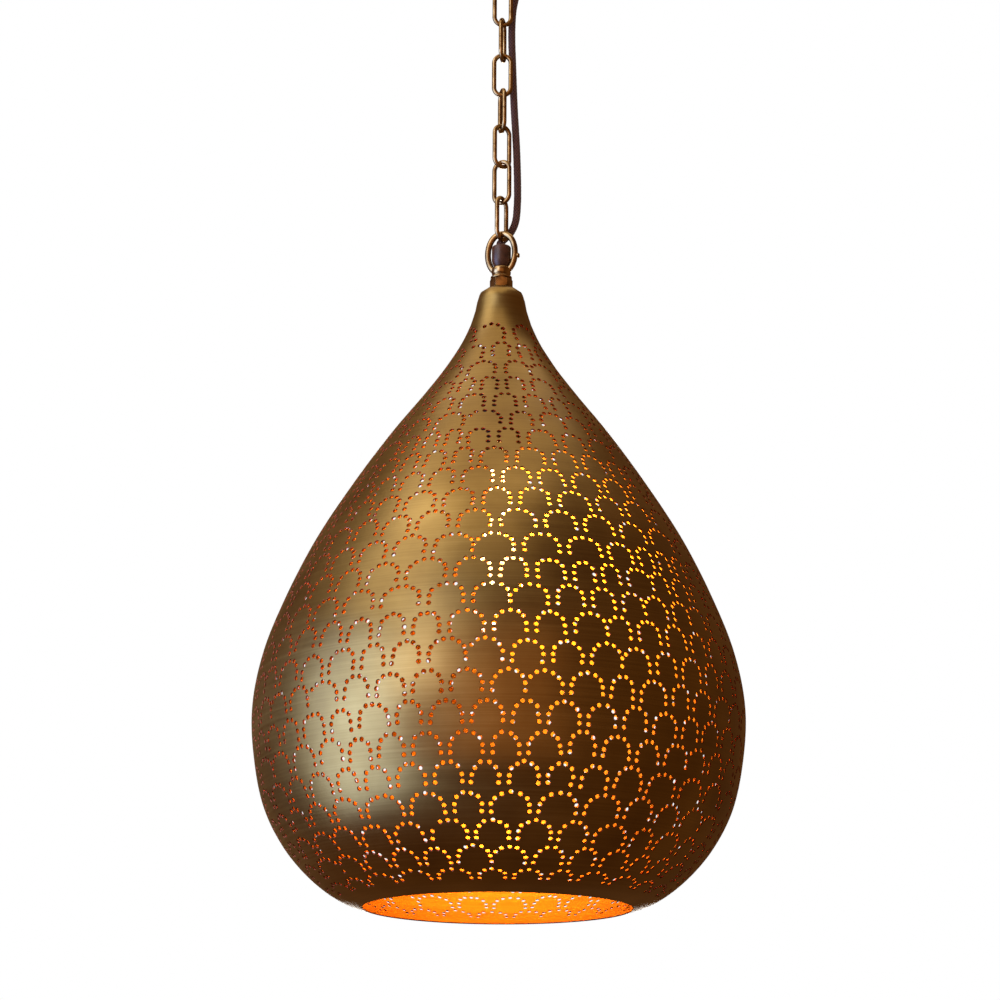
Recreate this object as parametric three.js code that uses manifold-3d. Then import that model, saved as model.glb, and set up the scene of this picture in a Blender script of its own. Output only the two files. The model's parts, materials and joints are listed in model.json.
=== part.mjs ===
// A perforated brass pendant lantern on a ceiling rose, seven chain links and a braided flex.
// Millimetres, +Z up. The origin is the centre of the bracket's top face, where it meets the ceiling.

import * as THREE from 'three';
import { mergeVertices } from 'three/addons/utils/BufferGeometryUtils.js';
import Module from 'manifold-3d';

const wasm = await Module();
wasm.setup();

// ---------------------------------------------------------------- driving dimensions

const GAP = 0.3; // clearance between pieces that rest on each other

// Ceiling rose
const CANOPY = { radius: 54, depth: 60, wall: 1, lip: 0.8, flat: 28, shoulder: 16 };
const BRACKET = { length: 96, width: 20, sheet: 2, leg: 15, slot: 12, slotWidth: 5, slotX: 30 };
const SIDE_SCREW = { radius: 2, head: 3.6, headHeight: 2.4, length: 10, z: -9 };
const BUSHING = { x: 15, y: 11, bore: 3.2, neck: 4.6, flange: 6.5, taper: 20 };

// Threaded tube, M10, shared by the rose and the lamp
const TUBE = { radius: 4.9, bore: 3.6, hole: 5.2 };

// Loop with a collar, one at each end of the chain
const LOOP = { wire: 2.6, halfWidth: 12.3, halfHeight: 17.95, collar: 8.2, collarHeight: 6.5, sunk: 4.8 };

// Chain
const LINK = { wire: 1.95, bend: 7.25, straight: 23.55 };
const LINK_YAWS = [8, 78, 0, -75, 30, -28, 57]; // each link's turn from facing the front, degrees
const ROSE_LOOP_YAW = 86;
const LAMP_LOOP_YAW = -20;

// Flex: its route was laid by hand; the breaks are the points at the middle of each link
const FLEX_RADIUS = 2.8;
const FLEX_ROUTE = [
  [15, 11, -56], [15, 11, -66], [14.9, 10.9, -76], [14, 10.4, -88], [11.6, 9.4, -102],
  [9.2, 8.6, -115.6], [8.2, 8.2, -132], [8.2, 8, -149.4], [8.8, 8, -166], [9.4, 7.8, -183.3],
  [10, 7.6, -200], [10.8, 7.5, -217.1], [11.8, 7.4, -234], [12.7, 7.3, -251], [13.3, 7.2, -268],
  [13.7, 7.4, -284.8], [13.6, 8, -302], [11.9, 9.2, -318.7], [7.6, 10.8, -328],
  [2, 10.4, -334.4], [-1.1, 6.6, -339.4], [-0.8, 3.2, -343.3], [-0.2, 0.8, -347.3], [0, 0, -352], [0, 0, -358],
];
const FLEX_BREAKS = [0, 5, 7, 9, 11, 13, 15, 17, 24];

// Lantern body. Heights are above the plane of the open rim.
const SHADE_WALL = 1;
const SHADE_OUTLINE = [
  [108, 0], [127.5, 7], [150, 23], [171.5, 47], [188.5, 79], [198, 122], [200, 160],
  [192.8, 202], [177.8, 244], [153.8, 295.5], [122.8, 347], [92.9, 391], [65.9, 426.5],
  [47.1, 453], [31.5, 480], [22.9, 503], [19.6, 519],
];
const NECK = { shoulder: 17.6, top: 527 };
const NUT = { flats: 17, height: 8.4 };
const COLLAR_BASE = 539.9;
const FLANGE = { radius: 9.2, base: 536, height: 2.7 };
const GRIP = { radius: 8.2, foot: 4.8, height: 19, bore: 3.2, mouth: 5.9 };
const HANGER_TUBE = { bottom: 441, top: 541.7 };
const HOLDER = { top: 447, shoulder: 428, bottom: 385, radius: 20, cavity: 15 };
const BULB = { radius: 22.5, bottom: 222, neck: 387, wall: 1, cap: 13 };

// ---------------------------------------------------------------- materials

const finish = (color, roughness, metalness) =>
  new THREE.MeshStandardMaterial({ color, roughness, metalness });
const brushedBrass = finish(0x8a6f3c, 0.4, 1);
const agedBrass = finish(0x94713c, 0.42, 1);
const zincedSteel = finish(0xa7a9a8, 0.45, 0.9);
const brassTube = finish(0xb08d4c, 0.35, 1);
const brownPlastic = finish(0x5a2c14, 0.45, 0);
const blackPlastic = finish(0x1c1a18, 0.5, 0);
const whitePlastic = finish(0xe6e2d8, 0.5, 0);
const ceramic = finish(0xf0ece2, 0.35, 0);
const braid = finish(0x4a2c22, 0.85, 0);
const nickel = finish(0xb9b4a6, 0.3, 1);
const clearGlass = finish(0xfff3d8, 0.05, 0);
const filamentWire = finish(0xffc46a, 0.5, 0.2);

// ---------------------------------------------------------------- shapes

/** A turned solid from [radius, height] points: an outline from axis to axis, or one that closes. */
function turned(points, segments = 20) {
  const outline = points.map(([r, z]) => new THREE.Vector2(r, z));
  return new THREE.LatheGeometry(outline, segments).rotateX(Math.PI / 2);
}

/** A turned ring or sleeve between two radii and two heights. */
function sleeve(inner, outer, bottom, top, segments = 20) {
  return turned([[inner, bottom], [outer, bottom], [outer, top], [inner, top], [inner, bottom]], segments);
}

/** A solid round bar between two heights. */
function bar(radius, bottom, top, segments = 16) {
  return turned([[0, bottom], [radius, bottom], [radius, top], [0, top]], segments);
}

/** A hexagonal nut with a round bore, standing on the given height. */
function hexNut(flats, bore, bottom, height) {
  const shape = new THREE.Shape();
  const corner = flats / Math.sqrt(3);
  for (let i = 0; i < 6; i += 1) {
    const a = (i * Math.PI) / 3;
    const move = i === 0 ? 'moveTo' : 'lineTo';
    shape[move](corner * Math.cos(a), corner * Math.sin(a));
  }
  shape.closePath();
  shape.holes.push(new THREE.Path().absarc(0, 0, bore, 0, 2 * Math.PI, true));
  const nut = new THREE.ExtrudeGeometry(shape, { depth: height, bevelEnabled: false, curveSegments: 12 });
  return nut.translate(0, 0, bottom);
}

/** A long hole: two half circles joined by straight sides, as a solid to cut with. */
function slotCutter(length, width, depth) {
  const half = (length - width) / 2;
  const r = width / 2;
  const shape = new THREE.Shape();
  shape.absarc(half, 0, r, -Math.PI / 2, Math.PI / 2, false);
  shape.absarc(-half, 0, r, Math.PI / 2, (3 * Math.PI) / 2, false);
  return new THREE.ExtrudeGeometry(shape, { depth, bevelEnabled: false, curveSegments: 6 });
}

/** The centreline of a link: two half circles and two straight sides, in the XZ plane. */
class Oval extends THREE.Curve {
  constructor(bend, straight) {
    super();
    this.bend = bend;
    this.straight = straight;
  }

  getPoint(t, target = new THREE.Vector3()) {
    const arc = Math.PI * this.bend;
    const half = this.straight / 2;
    const s = (t % 1) * 2 * (arc + this.straight);
    if (s < this.straight) return target.set(this.bend, 0, s - half);
    if (s < this.straight + arc) {
      const a = (s - this.straight) / this.bend;
      return target.set(this.bend * Math.cos(a), 0, half + this.bend * Math.sin(a));
    }
    if (s < 2 * this.straight + arc) return target.set(-this.bend, 0, half - (s - this.straight - arc));
    const a = Math.PI + (s - 2 * this.straight - arc) / this.bend;
    return target.set(this.bend * Math.cos(a), 0, -half + this.bend * Math.sin(a));
  }
}

/** The centreline of a loop: an ellipse in the XZ plane. */
class UprightEllipse extends THREE.Curve {
  constructor(halfWidth, halfHeight) {
    super();
    Object.assign(this, { halfWidth, halfHeight });
  }

  getPoint(t, target = new THREE.Vector3()) {
    const a = 2 * Math.PI * t;
    return target.set(this.halfWidth * Math.cos(a), 0, this.halfHeight * Math.sin(a));
  }
}

/** A ring of round wire along a closed centreline. */
function closedWire(centreline, wire) {
  return new THREE.TubeGeometry(centreline, 24, wire, 8, true);
}

/** One stretch of a longer curve, between two shares of its own parameter. */
class Stretch extends THREE.Curve {
  constructor(whole, from, to) {
    super();
    Object.assign(this, { whole, from, to });
  }

  getPoint(t, target = new THREE.Vector3()) {
    return this.whole.getPoint(this.from + (this.to - this.from) * t, target);
  }
}

/** A round rod swept along a curve, with closed ends. */
function rod(curve, radius, steps, sides = 8) {
  const section = new THREE.Shape();
  for (let i = 0; i < sides; i += 1) {
    const a = (2 * Math.PI * i) / sides;
    const move = i === 0 ? 'moveTo' : 'lineTo';
    section[move](radius * Math.cos(a), radius * Math.sin(a));
  }
  section.closePath();
  return new THREE.ExtrudeGeometry(section, { extrudePath: curve, steps, bevelEnabled: false });
}

// ---------------------------------------------------------------- cutting and joining

function toSolid(geometry) {
  const bare = geometry.clone();
  bare.deleteAttribute('normal');
  bare.deleteAttribute('uv');
  const merged = mergeVertices(bare, 1e-4);
  const vertProperties = Float32Array.from(merged.attributes.position.array);
  const triVerts = Uint32Array.from(merged.index.array);
  return new wasm.Manifold(new wasm.Mesh({ numProp: 3, vertProperties, triVerts }));
}

function toGeometry(solid) {
  const { vertProperties, triVerts } = solid.getMesh();
  const geometry = new THREE.BufferGeometry();
  geometry.setAttribute('position', new THREE.BufferAttribute(Float32Array.from(vertProperties), 3));
  geometry.setIndex(Array.from(triVerts));
  geometry.computeVertexNormals();
  return geometry;
}

/** The first geometry joined with some and cut by others. */
function shaped(base, { add = [], cut = [] }) {
  let solid = toSolid(base);
  for (const piece of add) solid = solid.add(toSolid(piece));
  for (const piece of cut) solid = solid.subtract(toSolid(piece));
  return toGeometry(solid);
}

// ---------------------------------------------------------------- ceiling rose

function ceilingBracket() {
  const { length, width, sheet, leg, slot, slotWidth, slotX } = BRACKET;
  const strap = new THREE.BoxGeometry(length, width, sheet).translate(0, 0, -sheet / 2);
  const legs = [-1, 1].map((side) =>
    new THREE.BoxGeometry(sheet, width, leg).translate(side * (length - sheet) / 2, 0, -leg / 2));
  const slots = [-1, 1].map((side) =>
    slotCutter(slot, slotWidth, 4 * sheet).translate(side * slotX, 0, -2.5 * sheet));
  const tapped = bar(SIDE_SCREW.radius + GAP, -length, length, 16).rotateY(Math.PI / 2);
  tapped.translate(0, 0, SIDE_SCREW.z);
  const earthHole = bar(1.9, -10, 10, 12).translate(-14, 6, 0);
  return shaped(strap, { add: legs, cut: [...slots, tapped, earthHole] });
}

function canopyOutline(inset) {
  const { radius, depth, lip, flat, shoulder } = CANOPY;
  const wallRadius = radius - inset;
  const floor = -depth + inset;
  const corner = new THREE.QuadraticBezierCurve(
    new THREE.Vector2(wallRadius, -shoulder),
    new THREE.Vector2(wallRadius - 3, floor),
    new THREE.Vector2(flat, floor),
  ).getPoints(6);
  return [[wallRadius, -lip], ...corner.map((p) => [p.x, p.y])];
}

function canopy() {
  const outer = canopyOutline(0);
  const inner = canopyOutline(CANOPY.wall);
  const outline = [
    ...inner,
    [TUBE.hole, inner.at(-1)[1]],
    [TUBE.hole, outer.at(-1)[1]],
    ...outer.reverse(),
    inner[0],
  ];
  const shell = turned(outline, 28);
  const screwHoles = bar(SIDE_SCREW.radius + GAP, -80, 80, 12).rotateY(Math.PI / 2);
  screwHoles.translate(0, 0, SIDE_SCREW.z);
  const flexHole = bar(BUSHING.neck + GAP, -80, -50).translate(BUSHING.x, BUSHING.y, 0);
  return shaped(shell, { cut: [screwHoles, flexHole] });
}

function sideScrew() {
  const { radius, head, headHeight, length } = SIDE_SCREW;
  const seat = CANOPY.radius + GAP;
  const outline = [
    [0, seat - length], [radius, seat - length], [radius, seat], [head, seat],
    [head, seat + headHeight * 0.6], [head * 0.7, seat + headHeight], [0, seat + headHeight],
  ];
  return turned(outline, 12).rotateY(Math.PI / 2).translate(0, 0, SIDE_SCREW.z);
}

function flexBushing() {
  const { x, y, bore, neck, flange, taper } = BUSHING;
  const under = -CANOPY.depth - GAP;
  const outline = [
    [bore, under - taper], [bore + 1, under - taper], [flange - 1.2, under - 2.5], [flange, under - 2.2],
    [flange, under], [neck, under], [neck, under + 7], [bore, under + 7], [bore, under - taper],
  ];
  return turned(outline, 20).translate(x, y, 0);
}

/** A wire loop rising from a bored collar, as one casting. The collar's free end is at height 0. */
function collarLoop(flangeDepth) {
  const { wire, halfWidth, halfHeight, collar, collarHeight, sunk } = LOOP;
  const centre = halfHeight - sunk;
  const ring = closedWire(new UprightEllipse(halfWidth, halfHeight), wire).translate(0, 0, centre);
  const foot = -collarHeight - flangeDepth;
  const body = turned([
    [0, foot], [FLANGE.radius, foot], [FLANGE.radius, -collarHeight - 1.2],
    [collar - 0.8, -collarHeight - 0.6], [collar, -collarHeight], [collar, -1.2], [collar - 1.4, 0], [0, 0],
  ]);
  const clearWay = bar(TUBE.bore, foot - 1, centre);
  const thread = bar(TUBE.hole, foot - 1, -4.7);
  return shaped(ring, { add: [body], cut: [clearWay, thread] });
}

function terminalBlock() {
  const body = new THREE.BoxGeometry(26, 15, 12).translate(0, 0, -10);
  const wells = [-8, 0, 8].map((x) => bar(2.9, -12, -3, 12).translate(x, 0, 0));
  return shaped(body, { cut: wells });
}

// ---------------------------------------------------------------- lantern body

/** The lantern's wall at one skin: a smooth curve through the outline, moved in by the wall's thickness. */
function shadeSkin(inset) {
  const nodes = SHADE_OUTLINE.map(([r, z]) => new THREE.Vector3(r, z, 0));
  const curve = new THREE.CatmullRomCurve3(nodes, false, 'centripetal');
  return nodes.map((_, i) => {
    const t = i / (nodes.length - 1);
    const p = curve.getPoint(t);
    const way = curve.getTangent(t);
    return [p.x - inset * way.y, p.y + inset * way.x];
  });
}

function shade() {
  const outer = shadeSkin(0);
  const inner = shadeSkin(SHADE_WALL);
  const { shoulder, top } = NECK;
  const outline = [
    ...outer,
    [shoulder + 1.5, top - 4.4], [shoulder, top - 2.2], [shoulder - 3, top - 0.7], [shoulder - 7, top],
    [TUBE.hole, top], [TUBE.hole, top - SHADE_WALL],
    [shoulder - 7.2, top - SHADE_WALL], [shoulder - 3.4, top - 1.7], [shoulder - 0.8, top - 2.9],
    ...inner.reverse(),
    outer[0],
  ];
  return turned(outline, 40);
}

function cordGrip(bottom) {
  const { radius, foot, height, bore, mouth } = GRIP;
  const top = bottom + height;
  return turned([
    [bore, bottom], [foot, bottom], [radius, bottom + 6], [radius, top - 1.2], [radius - 1, top],
    [mouth, top], [bore, top - 7], [bore, bottom],
  ]);
}

function holderCap() {
  const { top, shoulder, radius } = HOLDER;
  return turned([
    [TUBE.hole, top], [TUBE.hole, shoulder + 8], [radius - 1.5, shoulder + 2], [radius - 1.5, shoulder],
    [radius, shoulder], [radius, shoulder + 3.5], [radius - 3, shoulder + 9], [10, top - 5],
    [8, top], [TUBE.hole, top],
  ]);
}

function holderBody() {
  const { shoulder, bottom, radius, cavity } = HOLDER;
  const seam = shoulder - GAP;
  return turned([
    [cavity, bottom], [radius - 1, bottom], [radius - 1, bottom + 26], [radius, bottom + 28],
    [radius, seam], [cavity + 2, seam], [cavity + 2, seam - 5], [cavity, seam - 7], [cavity, bottom],
  ]);
}

function holderInsert() {
  const { shoulder, cavity } = HOLDER;
  const seam = shoulder - GAP;
  return turned([
    [0, seam - 8], [4, seam - 8], [4, seam - 10], [cavity - GAP, seam - 10], [cavity - GAP, seam - 7],
    [cavity + 2 - GAP, seam - 5 + GAP], [cavity + 2 - GAP, seam], [0, seam],
  ], 16);
}

function bulbGlass() {
  const { radius, bottom, neck, wall } = BULB;
  const skin = (inset) => {
    const r = radius - inset;
    const side = new THREE.CubicBezierCurve(
      new THREE.Vector2(11.5 - inset, neck), new THREE.Vector2(11.5 - inset, neck - 22),
      new THREE.Vector2(r, neck - 20), new THREE.Vector2(r, neck - 52),
    ).getPoints(5);
    const end = new THREE.QuadraticBezierCurve(
      new THREE.Vector2(r, bottom + 24), new THREE.Vector2(r, bottom + inset),
      new THREE.Vector2(0, bottom + inset),
    ).getPoints(5);
    return [...side, ...end].map((p) => [p.x, p.y]);
  };
  const outer = skin(0);
  return turned([...outer.reverse(), ...skin(wall)], 18);
}

function bulbCap() {
  const { neck, cap } = BULB;
  const top = neck + 25;
  return turned([
    [11.8, neck - 1], [cap, neck - 1], [cap, top - 5], [9, top], [4.8, top], [4.8, top - 1],
    [11.8, top - 6], [11.8, neck - 1],
  ], 18);
}

function bulbStem() {
  const { neck } = BULB;
  return turned([
    [0, neck - 92], [1.6, neck - 92], [1.6, neck - 34], [3.2, neck - 30], [3.2, neck - 14],
    [8, neck + 2], [8, neck + 12], [0, neck + 12],
  ], 12);
}

/** A long wire strung up and down around the stem, like the bars of a cage. */
function bulbFilament() {
  const runs = 8;
  const top = 372;
  const low = 242;
  const points = [];
  for (let i = 0; i < runs; i += 1) {
    const a = ((i + 0.5) / runs) * 1.75 * Math.PI;
    const ends = i % 2 === 0 ? [top, low] : [low, top];
    for (const z of ends) {
      const ring = z === top ? 6.5 : 8.5;
      points.push(new THREE.Vector3(ring * Math.cos(a), ring * Math.sin(a), z));
    }
  }
  const wire = new THREE.CurvePath();
  for (let i = 1; i < points.length; i += 1) wire.add(new THREE.LineCurve3(points[i - 1], points[i]));
  const corners = points.length - 1;
  wire.getPointAt = (u) => {
    const at = u * corners;
    const i = Math.min(Math.floor(at), corners - 1);
    return points[i].clone().lerp(points[i + 1], at - i);
  };
  return rod(wire, 0.45, corners, 5);
}

// ---------------------------------------------------------------- assembly

const lantern = new THREE.Group();

function place(parent, name, geometry, material) {
  const mesh = new THREE.Mesh(geometry, material);
  mesh.name = name;
  parent.add(mesh);
  return mesh;
}

function buildRose() {
  const rose = new THREE.Group();
  lantern.add(rose);
  place(rose, 'ceiling_bracket', ceilingBracket(), zincedSteel);
  place(rose, 'canopy', canopy(), brushedBrass);
  place(rose, 'canopy_screw_right', sideScrew(), agedBrass);
  place(rose, 'canopy_screw_left', sideScrew(), agedBrass).rotation.z = Math.PI;
  const floor = -CANOPY.depth + CANOPY.wall;
  place(rose, 'stem', sleeve(TUBE.bore, TUBE.radius, -CANOPY.depth - 4.5, floor + 12), brassTube);
  place(rose, 'stem_washer', sleeve(TUBE.hole, 11, floor + GAP, floor + 1.5), zincedSteel);
  place(rose, 'stem_locknut', hexNut(14, TUBE.hole, floor + 1.5 + GAP, 5), zincedSteel);
  const flangeDepth = FLANGE.height + 1.2;
  const loop = place(rose, 'rose_loop', collarLoop(flangeDepth), agedBrass);
  loop.rotation.set(Math.PI, 0, THREE.MathUtils.degToRad(ROSE_LOOP_YAW));
  loop.position.z = -CANOPY.depth - GAP - LOOP.collarHeight - flangeDepth;
  place(rose, 'flex_bushing', flexBushing(), brownPlastic);
  const block = new THREE.Group();
  block.position.set(-17, -22, -6);
  rose.add(block);
  place(block, 'terminal_block', terminalBlock(), whitePlastic);
  [-8, 0, 8].forEach((x, i) => {
    const screw = bar(2.4, -11.5, -6, 12).translate(x, 0, 0);
    place(block, `terminal_screw_${i + 1}`, screw, brassTube);
  });
  const earth = turned([[0, -9], [3.4, -9], [3.4, -6.5], [1.6, -6.5], [1.6, -0.4], [0, -0.4]], 12);
  place(rose, 'earth_screw', earth, brassTube).position.set(-14, 6, 0);
  return loop.position.z;
}

/** Where the centre of a loop's wire lies at its outer end, measured from its collar's free end. */
const LOOP_REACH = 2 * LOOP.halfHeight - LOOP.sunk;
const LINK_HEIGHT = LINK.straight + 2 * LINK.bend;
const HOOKED = LOOP.wire + LINK.wire + GAP; // wire centre to wire centre, loop on link
const LINKED = 2 * LINK.wire + GAP; // wire centre to wire centre, link on link

function buildChain(loopEnd) {
  let seat = loopEnd - LOOP_REACH;
  LINK_YAWS.forEach((yaw, i) => {
    const top = seat + (i === 0 ? HOOKED : LINKED);
    const wire = closedWire(new Oval(LINK.bend, LINK.straight), LINK.wire);
    const link = place(lantern, `link_${i + 1}`, wire, agedBrass);
    link.rotation.z = THREE.MathUtils.degToRad(yaw);
    link.position.z = top - LINK_HEIGHT / 2;
    seat = top - LINK_HEIGHT;
  });
  return seat;
}

function buildFlex() {
  const route = FLEX_ROUTE.map((p) => new THREE.Vector3(...p));
  const whole = new THREE.CatmullRomCurve3(route, false, 'centripetal');
  const last = route.length - 1;
  const shaved = 0.01; // of one route step, so that neighbouring pieces stay apart
  for (let i = 1; i < FLEX_BREAKS.length; i += 1) {
    const from = FLEX_BREAKS[i - 1] + shaved;
    const to = FLEX_BREAKS[i] - shaved;
    const steps = Math.round(1.4 * (to - from)) + 1;
    const piece = rod(new Stretch(whole, from / last, to / last), FLEX_RADIUS, steps);
    place(lantern, `flex_${i}`, piece, braid);
  }
}

function buildLamp(chainEnd) {
  const collarTop = COLLAR_BASE + LOOP.collarHeight;
  const lamp = new THREE.Group();
  lamp.position.z = chainEnd + HOOKED - LOOP_REACH - collarTop;
  lantern.add(lamp);

  const loop = place(lamp, 'lamp_loop', collarLoop(COLLAR_BASE - FLANGE.base), agedBrass);
  loop.position.z = collarTop;
  loop.rotation.z = THREE.MathUtils.degToRad(LAMP_LOOP_YAW);
  const grub = bar(1.7, 0, 2.6, 12).rotateY(Math.PI / 2);
  grub.translate(LOOP.halfWidth + LOOP.wire + GAP, 0, LOOP.halfHeight - LOOP.sunk - 3.5);
  const grubPlace = place(lamp, 'loop_grub_screw', grub, agedBrass);
  grubPlace.position.z = collarTop;
  grubPlace.rotation.z = loop.rotation.z;
  place(lamp, 'cord_grip', cordGrip(collarTop + GAP), brownPlastic);
  place(lamp, 'top_nut', hexNut(NUT.flats, TUBE.hole, NECK.top + GAP, NUT.height), agedBrass);
  place(lamp, 'shade', shade(), brushedBrass);

  const { bottom, top } = HANGER_TUBE;
  const under = NECK.top - SHADE_WALL - GAP;
  place(lamp, 'hanger_tube', sleeve(TUBE.bore, TUBE.radius, bottom, top), brassTube);
  place(lamp, 'neck_washer', sleeve(TUBE.hole, 12, under - 1.5, under), zincedSteel);
  place(lamp, 'neck_locknut', hexNut(14, TUBE.hole, under - 1.5 - GAP - 5, 5), zincedSteel);
  place(lamp, 'lamp_lead', bar(2.6, HOLDER.shoulder + 1, collarTop + 5, 10), blackPlastic);

  place(lamp, 'holder_cap', holderCap(), blackPlastic);
  place(lamp, 'holder_body', holderBody(), blackPlastic);
  const ringTop = HOLDER.bottom + 14;
  place(lamp, 'holder_ring', sleeve(HOLDER.radius - 1 + GAP, 24, ringTop - 8, ringTop), blackPlastic);
  place(lamp, 'holder_insert', holderInsert(), ceramic);
  const contact = bar(3.4, HOLDER.shoulder - 10.5, HOLDER.shoulder - 8.6, 12);
  place(lamp, 'holder_contact', contact, brassTube);

  place(lamp, 'bulb_cap', bulbCap(), nickel);
  place(lamp, 'bulb_contact', bar(4.4, BULB.neck + 22, BULB.neck + 27, 12), nickel);
  place(lamp, 'bulb_glass', bulbGlass(), clearGlass);
  place(lamp, 'bulb_stem', bulbStem(), clearGlass);
  place(lamp, 'bulb_filament', bulbFilament(), filamentWire);
}

const loopEnd = buildRose();
const chainEnd = buildChain(loopEnd);
buildFlex();
buildLamp(chainEnd);

export default lantern;
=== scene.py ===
"""A perforated brass pendant lantern on a chain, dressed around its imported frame. Metres, +Z up."""

import json
import math
import random

import bmesh
import bpy
import numpy as np
from mathutils import Matrix, Vector, geometry


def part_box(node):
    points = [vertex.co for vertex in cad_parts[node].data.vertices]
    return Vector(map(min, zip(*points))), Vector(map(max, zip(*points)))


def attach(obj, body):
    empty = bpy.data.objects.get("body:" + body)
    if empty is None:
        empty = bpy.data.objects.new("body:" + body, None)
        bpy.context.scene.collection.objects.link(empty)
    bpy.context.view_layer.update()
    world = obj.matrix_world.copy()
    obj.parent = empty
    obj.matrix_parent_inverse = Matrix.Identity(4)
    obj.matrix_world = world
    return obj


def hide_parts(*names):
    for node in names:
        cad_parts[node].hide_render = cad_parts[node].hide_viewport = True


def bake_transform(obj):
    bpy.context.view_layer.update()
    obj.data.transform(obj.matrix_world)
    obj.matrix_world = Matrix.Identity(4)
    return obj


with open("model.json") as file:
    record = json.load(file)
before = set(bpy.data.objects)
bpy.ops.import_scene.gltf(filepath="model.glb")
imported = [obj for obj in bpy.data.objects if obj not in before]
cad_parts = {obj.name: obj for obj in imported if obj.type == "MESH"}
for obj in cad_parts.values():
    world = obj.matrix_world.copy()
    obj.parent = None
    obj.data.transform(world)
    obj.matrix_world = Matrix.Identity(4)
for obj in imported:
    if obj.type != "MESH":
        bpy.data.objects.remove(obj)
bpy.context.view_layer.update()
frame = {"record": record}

MM = 0.001
FULL_TURN = 2 * math.pi

# ---------------------------------------------------------------- places, from the frame

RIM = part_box("shade")[0].z
NECK_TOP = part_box("shade")[1].z
COLLAR_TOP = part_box("cord_grip")[0].z - 0.3 * MM
CANOPY_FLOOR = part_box("canopy")[0].z
BODY_OF_NODE = {n: b for b, nodes in frame["record"]["behaviour"]["bodies"].items() for n in nodes}


def centre_of(node):
    low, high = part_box(node)
    return (low + high) / 2


def above_rim(*points):
    """[radius, height above the rim] in millimetres, as [radius, z] in metres."""
    return [(r * MM, RIM + h * MM) for r, h in points]


# ---------------------------------------------------------------- camera

LENS = 90
CAMERA_DISTANCE = 2.0049
CAMERA_BELOW_RIM = 0.2390
CAMERA_PITCH = 16.09
CAMERA_ROLL = 0.33

camera = bpy.data.objects.new("camera", bpy.data.cameras.new("camera"))
bpy.context.collection.objects.link(camera)
camera.data.lens = LENS
camera.data.sensor_width = 36
camera.location = (0, -CAMERA_DISTANCE, RIM - CAMERA_BELOW_RIM)
camera.rotation_euler = (math.radians(90 + CAMERA_PITCH), 0, 0)
camera.rotation_euler.rotate_axis("Z", math.radians(CAMERA_ROLL))
bpy.context.scene.camera = camera

# ---------------------------------------------------------------- material helpers


def colour(code):
    """An sRGB hex colour as linear red, green, blue and alpha."""
    parts = [int(code[i : i + 2], 16) / 255 for i in (1, 3, 5)]
    return (*[c / 12.92 if c <= 0.04045 else ((c + 0.055) / 1.055) ** 2.4 for c in parts], 1)


def add(tree, kind, inputs=None, stops=(), **settings):
    """Adds a node. An input is a plain value or another node's output; stops are a ramp's (place, hex)."""
    made = tree.nodes.new(kind)
    for _ in stops[2:]:
        made.color_ramp.elements.new(0.5)
    for i, (position, code) in enumerate(stops):
        made.color_ramp.elements[i].position = position
        made.color_ramp.elements[i].color = colour(code)
    for name, value in settings.items():
        setattr(made, name, value)
    for name, value in (inputs or {}).items():
        if isinstance(value, bpy.types.NodeSocket):
            tree.links.new(value, made.inputs[name])
        else:
            made.inputs[name].default_value = value
    return made


def new_material(name, **values):
    """A Principled material. A value is a plain one or a node's output."""
    mat = bpy.data.materials.new(name)
    mat.use_nodes = True
    shader = mat.node_tree.nodes["Principled BSDF"]
    for key, value in values.items():
        shader.inputs[key.replace("_", " ")].default_value = value
    return mat, mat.node_tree, shader


# ---------------------------------------------------------------- materials


def spun_brushed_brass():
    """Spun brass, brushed round and round on the lathe and aged to olive gold under a clear lacquer.

    The brush lines smear each light round the body; the lacquer lays a paler, sharper shine over it.
    """
    mat, tree, shader = new_material("brushed_brass_spun", Metallic=1.0, Anisotropic=0.5)
    shader.inputs["Coat Weight"].default_value = 0.3
    shader.inputs["Coat Roughness"].default_value = 0.3
    place = add(tree, "ShaderNodeTexCoord").outputs["Object"]
    # brush lines are 0.2 mm apart on the real skin, drawn 1.1 mm apart so that they show
    long_lines = add(tree, "ShaderNodeMapping", {"Vector": place, "Scale": (9, 9, 900)}).outputs[0]
    brush = add(tree, "ShaderNodeTexNoise", {"Vector": long_lines, "Scale": 1.0, "Detail": 3}).outputs["Fac"]
    cloud = add(tree, "ShaderNodeTexNoise", {"Vector": place, "Scale": 14, "Detail": 4}).outputs["Fac"]
    mixed = add(tree, "ShaderNodeMath", {0: brush, 1: 0.35}, operation="MULTIPLY_ADD")
    tree.links.new(cloud, mixed.inputs[2])
    stops = [(0.45, "#856C3B"), (0.68, "#998047"), (0.9, "#AD9457")]
    tone = add(tree, "ShaderNodeValToRGB", {"Fac": mixed.outputs[0]}, stops)
    tree.links.new(tone.outputs[0], shader.inputs["Base Color"])
    rough = add(tree, "ShaderNodeMapRange", {"Value": brush, "To Min": 0.27, "To Max": 0.42}).outputs[0]
    tree.links.new(rough, shader.inputs["Roughness"])
    bump = add(tree, "ShaderNodeBump", {"Height": brush, "Strength": 0.12, "Distance": 0.2 * MM})
    tree.links.new(bump.outputs[0], shader.inputs["Normal"])
    tangent = add(tree, "ShaderNodeTangent", direction_type="RADIAL", axis="Z")
    tree.links.new(tangent.outputs[0], shader.inputs["Tangent"])
    return mat


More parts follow.
